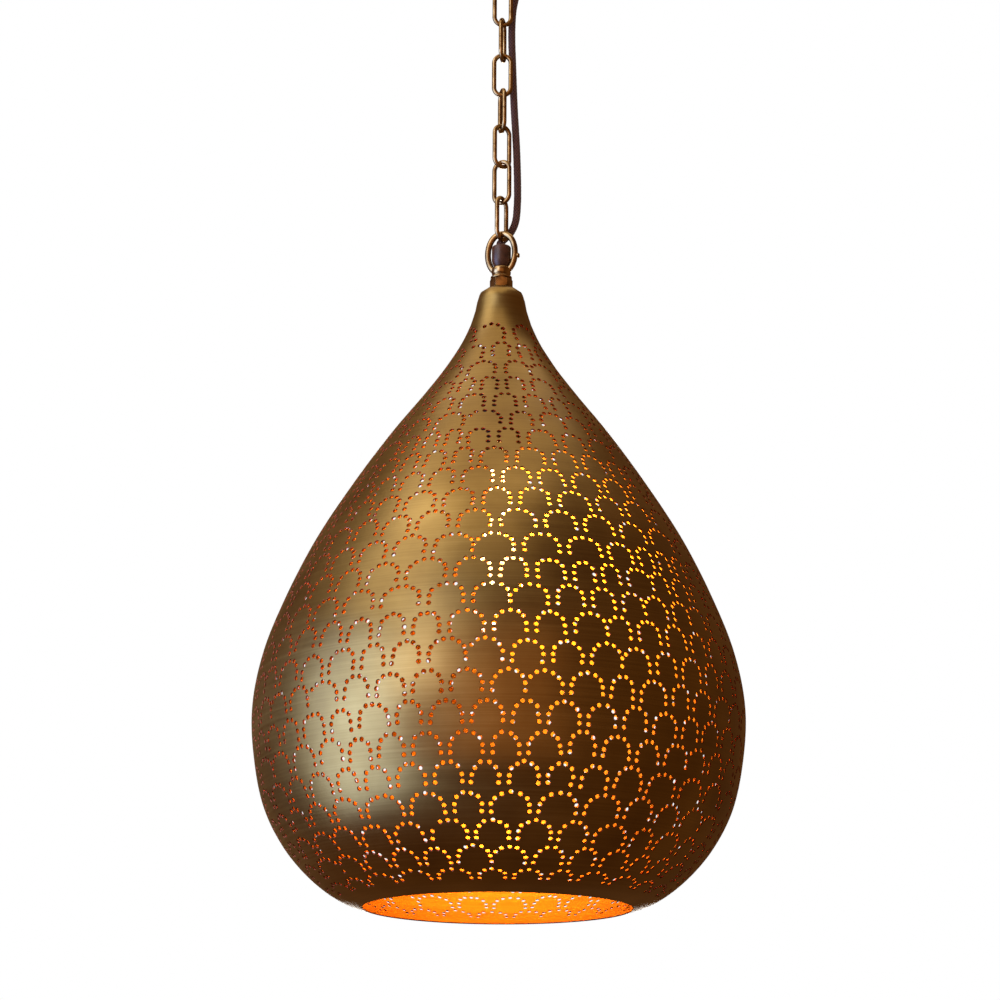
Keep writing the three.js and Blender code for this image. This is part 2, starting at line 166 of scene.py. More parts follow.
def inside_lacquer():
    """The skin's inner side: satin gold lacquer over brass, which turns the lamp's light to deep orange."""
    mat, tree, shader = new_material("gold_lacquer_satin", Metallic=0.55, Roughness=0.42)
    place = add(tree, "ShaderNodeTexCoord").outputs["Object"]
    streaks = add(tree, "ShaderNodeMapping", {"Vector": place, "Scale": (10, 10, 260)}).outputs[0]
    spun = add(tree, "ShaderNodeTexNoise", {"Vector": streaks, "Scale": 1.0, "Detail": 2}).outputs["Fac"]
    tone = add(tree, "ShaderNodeValToRGB", {"Fac": spun}, [(0.3, "#BC7C16"), (0.7, "#D09020")])
    tree.links.new(tone.outputs[0], shader.inputs["Base Color"])
    return mat


def punched_edge():
    """The edge of a punched hole: dark copper-red metal, pink where it catches a light."""
    mat, tree, shader = new_material("punched_edge_copper", Metallic=1.0, Roughness=0.38)
    place = add(tree, "ShaderNodeTexCoord").outputs["Object"]
    grain = add(tree, "ShaderNodeTexNoise", {"Vector": place, "Scale": 700, "Detail": 1}).outputs["Fac"]
    tone = add(tree, "ShaderNodeValToRGB", {"Fac": grain}, [(0.3, "#7A3A24"), (0.7, "#9C5238")])
    tree.links.new(tone.outputs[0], shader.inputs["Base Color"])
    return mat


def antiqued_brass():
    """Drawn and cast brass, blackened and rubbed back: cream where hands rub it, brown in the hollows."""
    mat, tree, shader = new_material("antiqued_brass", Metallic=1.0)
    place = add(tree, "ShaderNodeTexCoord").outputs["Object"]
    stain = add(tree, "ShaderNodeTexNoise", {"Vector": place, "Scale": 120, "Detail": 5}).outputs["Fac"]
    stops = [(0.3, "#7E6440"), (0.52, "#AC9062"), (0.72, "#CBB285")]
    tone = add(tree, "ShaderNodeValToRGB", {"Fac": stain}, stops)
    tree.links.new(tone.outputs[0], shader.inputs["Base Color"])
    rough = add(tree, "ShaderNodeMapRange", {"Value": stain, "To Min": 0.32, "To Max": 0.18}).outputs[0]
    tree.links.new(rough, shader.inputs["Roughness"])
    # pitting of about a millimetre from the blackening bath
    pits = add(tree, "ShaderNodeTexNoise", {"Vector": place, "Scale": 900, "Detail": 2}).outputs["Fac"]
    bump = add(tree, "ShaderNodeBump", {"Height": pits, "Strength": 0.08, "Distance": 0.1 * MM})
    tree.links.new(bump.outputs[0], shader.inputs["Normal"])
    return mat


def plated_metal(name, dark, light, roughness, grain_mm):
    """A plated metal with a fine crystal or drawing grain of the given size."""
    mat, tree, shader = new_material(name, Metallic=1.0)
    place = add(tree, "ShaderNodeTexCoord").outputs["Object"]
    grain = add(tree, "ShaderNodeTexNoise", {"Vector": place, "Scale": 1 / (grain_mm * MM), "Detail": 3})
    tone = add(tree, "ShaderNodeValToRGB", {"Fac": grain.outputs["Fac"]}, [(0.3, dark), (0.7, light)])
    tree.links.new(tone.outputs[0], shader.inputs["Base Color"])
    to = {"Value": grain.outputs["Fac"], "To Min": roughness - 0.08, "To Max": roughness + 0.08}
    tree.links.new(add(tree, "ShaderNodeMapRange", to).outputs[0], shader.inputs["Roughness"])
    return mat


def moulded_plastic(name, dark, light, roughness, texture_mm):
    """A pressed or moulded plastic with the mould's fine texture."""
    mat, tree, shader = new_material(name, IOR=1.55)
    place = add(tree, "ShaderNodeTexCoord").outputs["Object"]
    flow = add(tree, "ShaderNodeTexNoise", {"Vector": place, "Scale": 160, "Detail": 4}).outputs["Fac"]
    tone = add(tree, "ShaderNodeValToRGB", {"Fac": flow}, [(0.3, dark), (0.7, light)])
    tree.links.new(tone.outputs[0], shader.inputs["Base Color"])
    skin = add(tree, "ShaderNodeTexNoise", {"Vector": place, "Scale": 1 / (texture_mm * MM)}).outputs["Fac"]
    to = {"Value": skin, "To Min": roughness - 0.06, "To Max": roughness + 0.08}
    tree.links.new(add(tree, "ShaderNodeMapRange", to).outputs[0], shader.inputs["Roughness"])
    bump = add(tree, "ShaderNodeBump", {"Height": skin, "Strength": 0.15, "Distance": 0.05 * MM})
    tree.links.new(bump.outputs[0], shader.inputs["Normal"])
    return mat


def cotton_braid():
    """Polished cotton braid on round flex: two crossing sets of reddish-brown strands, with painted shade in the gaps
    between them.
    """
    mat, tree, shader = new_material("cotton_braid", IOR=1.5, Roughness=0.8)
    shader.inputs["Sheen Weight"].default_value = 0.08
    around, along, _ = add(
        tree, "ShaderNodeSeparateXYZ", {"Vector": add(tree, "ShaderNodeUVMap", uv_map="braid").outputs[0]}
    ).outputs
    waves = []
    for hand in (1, -1):
        # eight strands each way; a strand crosses 3.2 mm of length before the next one
        turn = add(tree, "ShaderNodeMath", {0: around, 1: hand * STRANDS * FULL_TURN}, operation="MULTIPLY")
        climb = {0: along, 1: FULL_TURN / STRAND_STEP, 2: turn.outputs[0]}
        phase = add(tree, "ShaderNodeMath", climb, operation="MULTIPLY_ADD").outputs[0]
        waves.append(add(tree, "ShaderNodeMath", {0: phase}, operation="SINE").outputs[0])
    over = add(tree, "ShaderNodeMath", {0: waves[0], 1: waves[1]}, operation="MAXIMUM").outputs[0]
    # painted shade: the colour ramp runs down to near black where the strands dip into the gaps between them, and
    # keeps the braid's reddish brown on their crowns
    gap_shade = add(tree, "ShaderNodeMapRange", {"Value": over, "From Min": -0.7, "From Max": 1.0}).outputs[0]
    stops = [(0.0, "#0E0503"), (0.5, "#2E130C"), (1.0, "#54291B")]
    tone = add(tree, "ShaderNodeValToRGB", {"Fac": gap_shade}, stops)
    tree.links.new(tone.outputs[0], shader.inputs["Base Color"])
    bump = add(tree, "ShaderNodeBump", {"Height": over, "Strength": 0.5, "Distance": 0.25 * MM})
    tree.links.new(bump.outputs[0], shader.inputs["Normal"])
    return mat


def lamp_glass():
    """Clear blown soda glass, a trace warm."""
    mat, tree, shader = new_material("clear_soda_glass", Roughness=0.02, IOR=1.46)
    shader.inputs["Transmission Weight"].default_value = 1.0
    place = add(tree, "ShaderNodeTexCoord").outputs["Object"]
    ream = add(tree, "ShaderNodeTexNoise", {"Vector": place, "Scale": 45, "Detail": 1}).outputs["Fac"]
    tone = add(tree, "ShaderNodeValToRGB", {"Fac": ream}, [(0.3, "#FFF6E8"), (0.7, "#FFFFFF")])
    tree.links.new(tone.outputs[0], shader.inputs["Base Color"])
    return mat


def hot_filament():
    """Tungsten at a warm, dimmed heat, brighter and duller by turns along the wire."""
    mat, tree, shader = new_material("hot_tungsten", Roughness=0.6)
    shader.inputs["Emission Strength"].default_value = FILAMENT_GLOW
    place = add(tree, "ShaderNodeTexCoord").outputs["Object"]
    heat = add(tree, "ShaderNodeTexNoise", {"Vector": place, "Scale": 60}).outputs["Fac"]
    tone = add(tree, "ShaderNodeValToRGB", {"Fac": heat}, [(0.3, "#FFB04A"), (0.7, "#FFD79A")])
    tree.links.new(tone.outputs[0], shader.inputs["Emission Color"])
    shader.inputs["Base Color"].default_value = colour("#8A7A66")
    mat.cycles.emission_sampling = "NONE"
    return mat


STRANDS = 8
STRAND_STEP = 3.2 * MM
FILAMENT_GLOW = 60

BRUSHED = spun_brushed_brass()
LACQUER = inside_lacquer()
PUNCHED = punched_edge()
ANTIQUED = antiqued_brass()
ZINC = plated_metal("zinc_plated_steel", "#8C9092", "#B9BCBC", 0.38, 1.2)
PLAIN_BRASS = plated_metal("drawn_brass", "#A07C3C", "#C29C58", 0.3, 0.8)
NICKEL = plated_metal("nickel_plated_brass", "#9A958A", "#C4BFB2", 0.25, 1.0)
BROWN = moulded_plastic("brown_phenolic", "#2A120A", "#43200F", 0.36, 0.6)
BLACK = moulded_plastic("black_phenolic", "#100E0D", "#1E1B19", 0.4, 0.6)
WHITE = moulded_plastic("white_nylon", "#DEDAD0", "#EEEAE2", 0.45, 0.5)
CERAMIC = moulded_plastic("glazed_steatite", "#E8E2D4", "#F6F1E8", 0.18, 1.5)
PVC = moulded_plastic("black_pvc", "#0C0C0C", "#181818", 0.35, 0.8)
BRAID = cotton_braid()
GLASS = lamp_glass()
HOT = hot_filament()

# ---------------------------------------------------------------- flex, in eight stretches

FLEX_ROUTE = [
    (15, 11, -56), (15, 11, -66), (14.9, 10.9, -76), (14, 10.4, -88), (11.6, 9.4, -102),
    (9.2, 8.6, -115.6), (8.2, 8.2, -132), (8.2, 8, -149.4), (8.8, 8, -166), (9.4, 7.8, -183.3),
    (10, 7.6, -200), (10.8, 7.5, -217.1), (11.8, 7.4, -234), (12.7, 7.3, -251), (13.3, 7.2, -268),
    (13.7, 7.4, -284.8), (13.6, 8, -302), (11.9, 9.2, -318.7), (7.6, 10.8, -328),
    (2, 10.4, -334.4), (-1.1, 6.6, -339.4), (-0.8, 3.2, -343.3), (-0.2, 0.8, -347.3), (0, 0, -352), (0, 0, -358),
]
FLEX_BREAKS = [0, 5, 7, 9, 11, 13, 15, 17, 24]
BRAID_RADIUS = 3.05 * MM
BRAID_RELIEF = 0.22 * MM
BRAID_SIDES = 32
STEPS_BETWEEN = 18  # rings of the tube between two points of the route


def centripetal(points, per_span):
    """A centripetal Catmull-Rom curve through the points, with the given steps in each span."""
    p = [Vector(q) for q in points]
    p = [2 * p[0] - p[1], *p, 2 * p[-1] - p[-2]]
    line = []
    for i in range(1, len(p) - 2):
        a, b, c, d = p[i - 1 : i + 3]
        t1 = (b - a).length ** 0.5
        t2 = t1 + (c - b).length ** 0.5
        t3 = t2 + (d - c).length ** 0.5
        for k in range(per_span):
            t = t1 + (t2 - t1) * k / per_span
            ab = a.lerp(b, t / t1)
            bc = b.lerp(c, (t - t1) / (t2 - t1))
            cd = c.lerp(d, (t - t2) / (t3 - t2))
            abc = ab.lerp(bc, t / t2)
            bcd = bc.lerp(cd, (t - t1) / (t3 - t1))
            line.append(abc.lerp(bcd, (t - t1) / (t2 - t1)))
    return [*line, p[-2]]


def braid_frames(line):
    """A pair of cross directions at each point of the line, turning as little as they can."""
    frames = []
    side = Vector((1, 0, 0))
    for i in range(len(line)):
        way = (line[min(i + 1, len(line) - 1)] - line[max(i - 1, 0)]).normalized()
        side = (side - way * side.dot(way)).normalized()
        frames.append((side.copy(), way.cross(side)))
    return frames


def flex_tube(name, line, frames, travelled):
    """A braided tube round part of the route. Its surface rises where a strand passes over."""
    mesh = bpy.data.meshes.new(name)
    made = bpy.data.objects.new(name, mesh)
    bpy.context.collection.objects.link(made)
    bm = bmesh.new()
    uv = bm.loops.layers.uv.new("braid")
    rings = []
    for point, (side, up), s in zip(line, frames, travelled):
        ring = []
        for k in range(BRAID_SIDES):
            a = FULL_TURN * k / BRAID_SIDES
            climb = FULL_TURN * s / STRAND_STEP
            over = max(math.sin(climb + STRANDS * a), math.sin(climb - STRANDS * a))
            r = BRAID_RADIUS + BRAID_RELIEF * over
            ring.append(bm.verts.new(point + side * (r * math.cos(a)) + up * (r * math.sin(a))))
        rings.append(ring)
    for i in range(len(rings) - 1):
        for k in range(BRAID_SIDES):
            n = (k + 1) % BRAID_SIDES
            face = bm.faces.new((rings[i][k], rings[i][n], rings[i + 1][n], rings[i + 1][k]))
            face.smooth = True
            for loop, (u, v) in zip(face.loops, ((k, i), (k + 1, i), (k + 1, i + 1), (k, i + 1))):
                loop[uv].uv = (u / BRAID_SIDES, travelled[v])
    bm.faces.new(list(reversed(rings[0])))
    bm.faces.new(rings[-1])
    bm.to_mesh(mesh)
    bm.free()
    mesh.materials.append(BRAID)
    return made


def lay_flex():
    route = [Vector(p) * MM for p in FLEX_ROUTE]
    line = centripetal(route, STEPS_BETWEEN)
    frames = braid_frames(line)
    travelled = [0.0]
    for a, b in zip(line, line[1:]):
        travelled.append(travelled[-1] + (b - a).length)
    for i in range(8):
        first, last = (FLEX_BREAKS[i + k] * STEPS_BETWEEN for k in (0, 1))
        part = slice(first, last + 1)
        piece = flex_tube(f"flex_braid_{i + 1}", line[part], frames[part], travelled[part])
        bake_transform(piece)
        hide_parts(f"flex_{i + 1}")


lay_flex()

# ---------------------------------------------------------------- working at the bench


def deselect():
    if bpy.context.object and bpy.context.object.mode == "EDIT":
        bpy.ops.object.mode_set(mode="OBJECT")
    bpy.ops.object.select_all(action="DESELECT")


def make_active(piece):
    deselect()
    piece.select_set(True)
    bpy.context.view_layer.objects.active = piece


def pick(piece, wanted, kind="FACE"):
    """In edit mode, selects only the faces or edges that the test wants."""
    bpy.ops.mesh.select_mode(type=kind)
    bpy.ops.mesh.select_all(action="DESELECT")
    bm = bmesh.from_edit_mesh(piece.data)
    for item in bm.faces if kind == "FACE" else bm.edges:
        if wanted(item):
            item.select_set(True)
    bm.select_flush(True)
    bmesh.update_edit_mesh(piece.data)


def draw(name, points, close=False):
    """Draws a line from point to point, vertex by vertex, and leaves it in edit mode."""
    deselect()
    bpy.ops.mesh.primitive_plane_add(size=MM)
    piece = bpy.context.object
    piece.name = piece.data.name = name
    bpy.ops.object.mode_set(mode="EDIT")
    bpy.ops.mesh.select_mode(type="VERT")
    bpy.ops.mesh.select_all(action="SELECT")
    bpy.ops.mesh.merge(type="CENTER")
    points = [Vector(p) for p in points]
    bpy.ops.transform.translate(value=points[0])
    for a, b in zip(points, points[1:] + points[:1] * close):
        bpy.ops.mesh.extrude_region_move(TRANSFORM_OT_translate={"value": b - a})
    bpy.ops.mesh.select_all(action="SELECT")
    bpy.ops.mesh.remove_doubles(threshold=0.002 * MM)
    return piece


def turn(name, outline, steps=64, close=False):
    """Spins an outline of (radius, z) points once round the Z axis. It runs from axis to axis, or closes."""
    piece = draw(name, [(r, 0, z) for r, z in outline], close)
    bpy.ops.mesh.spin(steps=steps, angle=FULL_TURN, center=(0, 0, 0), axis=(0, 0, 1))
    bpy.ops.mesh.select_all(action="SELECT")
    bpy.ops.mesh.remove_doubles(threshold=0.002 * MM)
    bpy.ops.mesh.normals_make_consistent(inside=False)
    bpy.ops.object.mode_set(mode="OBJECT")
    return piece


def wire(piece, radius):
    """Gives a drawn line the thickness of a round wire."""
    bpy.ops.object.mode_set(mode="OBJECT")
    bpy.ops.object.convert(target="CURVE")
    line = bpy.context.object
    line.data.bevel_depth = radius
    line.data.bevel_resolution = 2
    line.data.use_fill_caps = True
    bpy.ops.object.convert(target="MESH")
    bpy.ops.object.mode_set(mode="EDIT")
    bpy.ops.mesh.select_mode(type="VERT")
    bpy.ops.mesh.select_all(action="SELECT")
    bpy.ops.mesh.remove_doubles(threshold=0.002 * MM)
    bpy.ops.object.mode_set(mode="OBJECT")
    return bpy.context.object


def millimetres(*points):
    """(radius, z) points in millimetres, in metres."""
    return [(r * MM, z * MM) for r, z in points]


def bezier(a, b, c, d, steps):
    """Points along a cubic curve in (radius, z)."""
    return [tuple(p)[:2] for p in geometry.interpolate_bezier(
        *(Vector((*q, 0)) for q in (a, b, c, d)), steps)]


def soften(piece, width, segments=2, angle=35):
    """Breaks the sharp edges with a small bevel and applies it."""
    make_active(piece)
    bevel = piece.modifiers.new("soft edges", "BEVEL")
    bevel.width = width
    bevel.segments = segments
    bevel.limit_method = "ANGLE"
    bevel.angle_limit = math.radians(angle)
    bpy.ops.object.modifier_apply(modifier=bevel.name)


def cut_away(piece, *cutters):
    """Cuts the piece with each cutter, applies the cut and throws the cutter away."""
    for cutter in cutters:
        make_active(piece)
        cut = piece.modifiers.new("cut", "BOOLEAN")
        cut.operation = "DIFFERENCE"
        cut.object = cutter
        bpy.ops.object.modifier_apply(modifier=cut.name)
        bpy.data.objects.remove(cutter)


def drill(radius, depth, place, axis="Z", sides=32):
    """A drill's cylinder, to cut with."""
    deselect()
    turns = {"X": (0, math.pi / 2, 0), "Y": (math.pi / 2, 0, 0), "Z": (0, 0, 0)}
    bpy.ops.mesh.primitive_cylinder_add(
        vertices=sides, radius=radius, depth=depth, location=place, rotation=turns[axis]
    )
    return bpy.context.object


def join(pieces, name):
    """Joins several loose solids into one object."""
    deselect()
    for piece in pieces:
        piece.select_set(True)
    bpy.context.view_layer.objects.active = pieces[0]
    bpy.ops.object.join()
    pieces[0].name = pieces[0].data.name = name
    return pieces[0]


def fit(piece, node, slot, *materials, angle=35):
    """Finishes a piece that stands for a CAD node: place into the mesh, smooth by angle, materials, body."""
    make_active(piece)
    bpy.ops.object.transform_apply(location=True, rotation=True, scale=True)
    bpy.ops.object.shade_smooth_by_angle(angle=math.radians(angle))
    piece.data.materials.clear()
    for material in materials:
        piece.data.materials.append(material)
    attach(piece, BODY_OF_NODE[node])
    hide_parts(node)
    return piece


def copy_of(piece, name):
    """A copy with a mesh of its own."""
    deselect()
    piece.select_set(True)
    bpy.context.view_layer.objects.active = piece
    bpy.ops.object.duplicate(linked=False)
    made = bpy.context.object
    made.name = made.data.name = name
    return made


# ---------------------------------------------------------------- shade: the skin

SKIN_OUTLINE = above_rim(
    (108, 0), (127.5, 7), (150, 23), (171.5, 47), (188.5, 79), (198, 122), (200, 160),
    (192.8, 202), (177.8, 244), (153.8, 295.5), (122.8, 347), (92.9, 391), (65.9, 426.5),
    (47.1, 453), (31.5, 480), (22.9, 503), (19.6, 519),
)
NECK_OUTLINE = above_rim((18.7, 521.2), (17, 523.5), (14.4, 525.3), (12, 526.4), (9.9, 527), (5.4, 527))
SKIN_WALL = 1.0 * MM
CHAMFER = 0.35 * MM
HOLE_RADIUS = 1.75 * MM
HOLE_SIDES = 8
HOLE_SPACING = 5.9 * MM
FIRST_CROWN = 33 * MM  # along the skin, from the rim up to the lowest row's crowns
LOW_ROWS, LOW_PITCH = 8, 22.6 * MM
HIGH_ROWS, HIGH_PITCH = 16, 23.7 * MM
GRID = 7.5 * MM  # spacing of the skin's own points between the holes
CLEAR_OF_HOLE = 1.3 * MM
SEED = 11


class Skin:
    """The skin's profile, measured along its own length from the rim up."""

    def __init__(self):
        line = centripetal([(r, 0, z) for r, z in SKIN_OUTLINE + NECK_OUTLINE], 14)
        points = np.array([(p.x, p.z) for p in line])
        steps = np.hypot(*np.diff(points, axis=0).T)
        self.r, self.z = points.T
        self.s = np.concatenate([[0], np.cumsum(steps)])
        along = np.gradient(points, self.s, axis=0)
        self.nr, self.nz = along[:, 1], -along[:, 0]
        middle = (self.r[1:] + self.r[:-1]) / 2
        self.q = np.concatenate([[0], np.cumsum(steps / middle)])
        self.length = float(self.s[-1])

    def radius(self, s):
        return np.interp(s, self.s, self.r)

    def flat(self, s):
        """Height on a flat map of the skin that keeps every small shape true."""
        return np.interp(s, self.s, self.q)

    def along(self, q):
        return np.interp(q, self.q, self.s)

    def place(self, azimuth, s, inset):
        """Points and outward normals on the skin, moved in by the inset."""
        normal = np.stack([np.interp(s, self.s, self.nr), np.interp(s, self.s, self.nz)])
        normal /= np.hypot(*normal)
        r = self.radius(s) - inset * normal[0]
        z = np.interp(s, self.s, self.z) - inset * normal[1]
        c, d = np.cos(azimuth), np.sin(azimuth)
        return np.stack([r * c, r * d, z], 1), np.stack([normal[0] * c, normal[0] * d, normal[1]], 1)


def next_junctions(junctions, wanted, rng):
    """Where the legs of the next row meet: under the crowns of the row above, give or take a hand's error."""
    around = [*junctions, junctions[0] + FULL_TURN]
    centres = [(a + b) / 2 for a, b in zip(around, around[1:])]
    while len(centres) > wanted:
        gaps = [(centres[(i + 1) % len(centres)] - c) % FULL_TURN for i, c in enumerate(centres)]
        centres.pop(min(range(len(centres)), key=lambda i: gaps[i] + gaps[i - 1]))
    while len(centres) < wanted:
        gaps = [(centres[(i + 1) % len(centres)] - c) % FULL_TURN for i, c in enumerate(centres)]
        widest = max(range(len(centres)), key=gaps.__getitem__)
        centres.insert(widest + 1, centres[widest] + gaps[widest] / 2)
    n = len(centres)
    for _ in range(3):
        centres = [
            c + 0.25 * (((centres[(i + 1) % n] - c) % FULL_TURN) - ((c - centres[i - 1]) % FULL_TURN))
            for i, c in enumerate(centres)
        ]
    slip = 0.075 * FULL_TURN / n
    return sorted((c + rng.uniform(-slip, slip)) % FULL_TURN for c in centres)


def arch_holes(half_width, height, rng):
    """Hole centres of one arch, as (sideways, down) from its crown: a round head on two legs."""
    head = min(half_width, 0.68 * height)
    leg = height - head
    quarter = math.pi / 2 * (half_width + head) / 2
    count = max(5, round(2 * (quarter + leg) / HOLE_SPACING) + 1)
    holes = []
    for i in range(count):
        t = (2 * i / (count - 1) - 1) * (quarter + leg)
        turn = min(abs(t) / quarter, 1) * math.pi / 2
        down = head * (1 - math.cos(turn)) + max(abs(t) - quarter, 0)
        side = math.copysign(half_width * math.sin(turn), t)
        holes.append((side + rng.gauss(0, 0.28 * MM), down + rng.gauss(0, 0.28 * MM)))
    return holes


def punched_holes(skin):
    """The azimuth and the place along the skin of every hole, row by row from the top."""
    rng = random.Random(SEED)
    crowns = [FIRST_CROWN + LOW_PITCH * i for i in range(LOW_ROWS)]
    crowns += [crowns[-1] + HIGH_PITCH * (i + 1) for i in range(HIGH_ROWS)]
    junctions = [FULL_TURN * i / 7 for i in range(7)]
    holes = []
    for row, crown in reversed(list(enumerate(crowns))):
        pitch = HIGH_PITCH if row >= LOW_ROWS else LOW_PITCH
        height = {0: 10.5 * MM}.get(row, pitch - (7.2 if row >= LOW_ROWS else 7.0) * MM)
        r = float(skin.radius(crown - height / 2))
        arch_pitch = np.interp(crown, [0.25, 0.42, 0.5], [30.5 * MM, 25.5 * MM, 24 * MM])
        junctions = next_junctions(junctions, max(7, round(FULL_TURN * r / arch_pitch)), rng)
        around = [*junctions, junctions[0] + FULL_TURN]
        shared = [rng.random() < 0.1 for _ in junctions]
        for i, (a, b) in enumerate(zip(around, around[1:])):
            space = [0.9 * MM if shared[(i + k) % len(junctions)] else 3.7 * MM for k in (0, 1)]
            left, right = a + space[0] / r, b - space[1] / r
            centre, half_width = (left + right) / 2, (right - left) / 2 * r
            drop = rng.gauss(0, 0.5 * MM)
            for side, down in arch_holes(half_width, height, rng):
                s = crown - down - drop
                holes.append(((centre + side / float(skin.radius(s))) % FULL_TURN, s))
    return spread_out(skin, holes)


def spread_out(skin, holes):
    """Leaves out a hole that would run into one already punched, after moving any hole off the skin's back line."""
    kept = []
    cells = {}
    near = 2 * HOLE_RADIUS + 0.9 * MM
    for azimuth, s in holes:
        r = float(skin.radius(s))
        edge = (HOLE_RADIUS + 1.2 * MM) / r
        azimuth = min(max(azimuth, edge), FULL_TURN - edge)
        key = round(s / near)
        close = (h for k in (key - 1, key, key + 1) for h in cells.get(k, ()))
        if all(math.hypot((azimuth - a) * r, s - t) > near for a, t in close):
            cells.setdefault(key, []).append((azimuth, s))
            kept.append((azimuth, s))
    return np.array(kept)


def skin_grid(skin, holes):
    """The skin's own points between the holes, in rings that keep about one spacing all round."""
    rings = []
    count = round(skin.length / GRID)
    for s in np.linspace(0, skin.length, count + 1)[1:-1]:
        n = max(12, round(FULL_TURN * float(skin.radius(s)) / GRID))
        azimuth = (np.arange(1, n) + 0.5 * (len(rings) % 2)) * FULL_TURN / n
        rings.append(np.stack([azimuth[azimuth < FULL_TURN * (1 - 0.4 / n)], np.full_like(azimuth, s)[: len(
            azimuth[azimuth < FULL_TURN * (1 - 0.4 / n)])]], 1))
    grid = np.concatenate(rings)
    keep = np.ones(len(grid), bool)
    limit = HOLE_RADIUS + CLEAR_OF_HOLE
    order = np.argsort(holes[:, 1])
    sorted_s = holes[order, 1]
    for i, (azimuth, s) in enumerate(grid):
        low, high = np.searchsorted(sorted_s, [s - limit, s + limit])
        near = holes[order[low:high]]
        if len(near):
            keep[i] = np.hypot((near[:, 0] - azimuth) * skin.radius(s), near[:, 1] - s).min() > limit
    return grid[keep]


def flat_sheet(skin, holes):
    """Cuts the flat map of the skin into triangles round its holes.

    Gives each point's azimuth, place along the skin and hole (or -1), the triangles, and the holes' own points.
    """
    seam = np.linspace(0, skin.length, round(skin.length / GRID) + 1)
    bottom = np.linspace(0, FULL_TURN, 121)
    top = np.linspace(FULL_TURN, 0, 41)
    border = [(a, 0.0) for a in bottom] + [(FULL_TURN, s) for s in seam[1:-1]]
    border += [(a, skin.length) for a in top] + [(0.0, s) for s in seam[-2:0:-1]]
    border = np.array(border)
    grid = skin_grid(skin, holes)
    ring = np.arange(HOLE_SIDES) * FULL_TURN / HOLE_SIDES
    scale = 1 / skin.radius(holes[:, 1])
    ways = np.stack([np.cos(ring), np.sin(ring)], 1)
    reach = scale[:, None, None] * ways[None]  # one metre along the skin, on the flat map
    middles = np.stack([holes[:, 0], skin.flat(holes[:, 1])], 1)[:, None]
    rims = (middles + (HOLE_RADIUS + CHAMFER) * reach).reshape(-1, 2)
    bores = (middles + HOLE_RADIUS * reach).reshape(-1, 2)
    plain = np.concatenate([border, grid])
    plain[:, 1] = skin.flat(plain[:, 1])
    flat = np.concatenate([plain, rims])
    edges = [(i, (i + 1) % len(border)) for i in range(len(border))]
    first = len(plain)
    outlines = [list(range(first + i, first + i + HOLE_SIDES)) for i in range(0, len(rims), HOLE_SIDES)]
    cut = geometry.delaunay_2d_cdt([Vector(p) for p in flat], edges, outlines, 0, 1e-7)
    source = [o[0] for o in cut[3]]
    twins = {round(float(s), 7): i for i, (a, s) in enumerate(border) if a == 0}
    closed = np.arange(len(flat))
    for i, (a, s) in enumerate(border):
        if a == FULL_TURN:
            closed[i] = twins[round(float(s), 7)]
    kept = [tri for tri, within in zip(cut[2], cut[5]) if not within]
    triangles = closed[np.array(source)[np.array(kept)]]
    hole_of = np.concatenate([np.full(first, -1), np.repeat(np.arange(len(holes)), HOLE_SIDES)])
    inner = np.concatenate([plain, bores])
    return flat, inner, hole_of, triangles


def skin_band(name, skin, sheet, holes, triangles):
    """One band of the shade as a closed wall: both skins, the bores of its holes and its edges."""
    flat, inner, hole_of, _ = sheet
    used, tri = np.unique(triangles, return_inverse=True)
    tri = tri.reshape(-1, 3)
    flat, inner, hole_of = flat[used], inner[used], hole_of[used]
    n = len(used)
    outer_co, outer_normal = skin.place(flat[:, 0], skin.along(flat[:, 1]), 0)
    middle_co, _ = skin.place(inner[:, 0], skin.along(inner[:, 1]), CHAMFER)
    inner_co, inner_normal = skin.place(inner[:, 0], skin.along(inner[:, 1]), SKIN_WALL)
    punched = np.flatnonzero(hole_of >= 0)
    level = np.full(n, -1)
    level[punched] = 2 * n + np.arange(len(punched))
    points = np.concatenate([outer_co, inner_co, middle_co[punched]])
    axis = holes[hole_of[punched]]
    towards = skin.place(axis[:, 0], axis[:, 1], 0)[0] - outer_co[punched]
    towards /= np.linalg.norm(towards, axis=1)[:, None]
    bore_normal = np.zeros((n, 3))
    bore_normal[punched] = towards
    bevel_normal = outer_normal + bore_normal

    faces = [*tri.tolist(), *(tri[:, ::-1] + n).tolist()]
    normals = [*outer_normal[tri].reshape(-1, 3), *-inner_normal[tri[:, ::-1]].reshape(-1, 3)]
    kinds = [0] * len(tri) + [1] * len(tri)
    sides = np.concatenate([tri[:, [0, 1]], tri[:, [1, 2]], tri[:, [2, 0]]])
    met = {(int(a), int(b)) for a, b in sides}
    for a, b in met:
        if (b, a) in met:
            continue
        if hole_of[a] >= 0 and hole_of[a] == hole_of[b]:
            faces.append([b, a, int(level[a]), int(level[b])])
            faces.append([int(level[b]), int(level[a]), a + n, b + n])
            normals += [bevel_normal[b], bevel_normal[a], bevel_normal[a], bevel_normal[b]]
            normals += [bore_normal[b], bore_normal[a], bore_normal[a], bore_normal[b]]
            kinds += [2, 2]
        else:
            edge = [b, a, *[int(level[a])] * (level[a] >= 0), a + n, b + n, *[int(level[b])] * (level[b] >= 0)]
            faces.append(edge)
            normals += [(0, 0, 0)] * len(edge)
            kinds.append(2)
    mesh = bpy.data.meshes.new(name)
    piece = bpy.data.objects.new(name, mesh)
    bpy.context.collection.objects.link(piece)
    mesh.from_pydata(points.tolist(), [], faces)
    mesh.polygons.foreach_set("material_index", kinds)
    mesh.polygons.foreach_set("use_smooth", [True] * len(faces))
    for material in (BRUSHED, LACQUER, PUNCHED):
        mesh.materials.append(material)
    mesh.normals_split_custom_set([tuple(v) for v in normals])
    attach(piece, "lamp")
    return piece


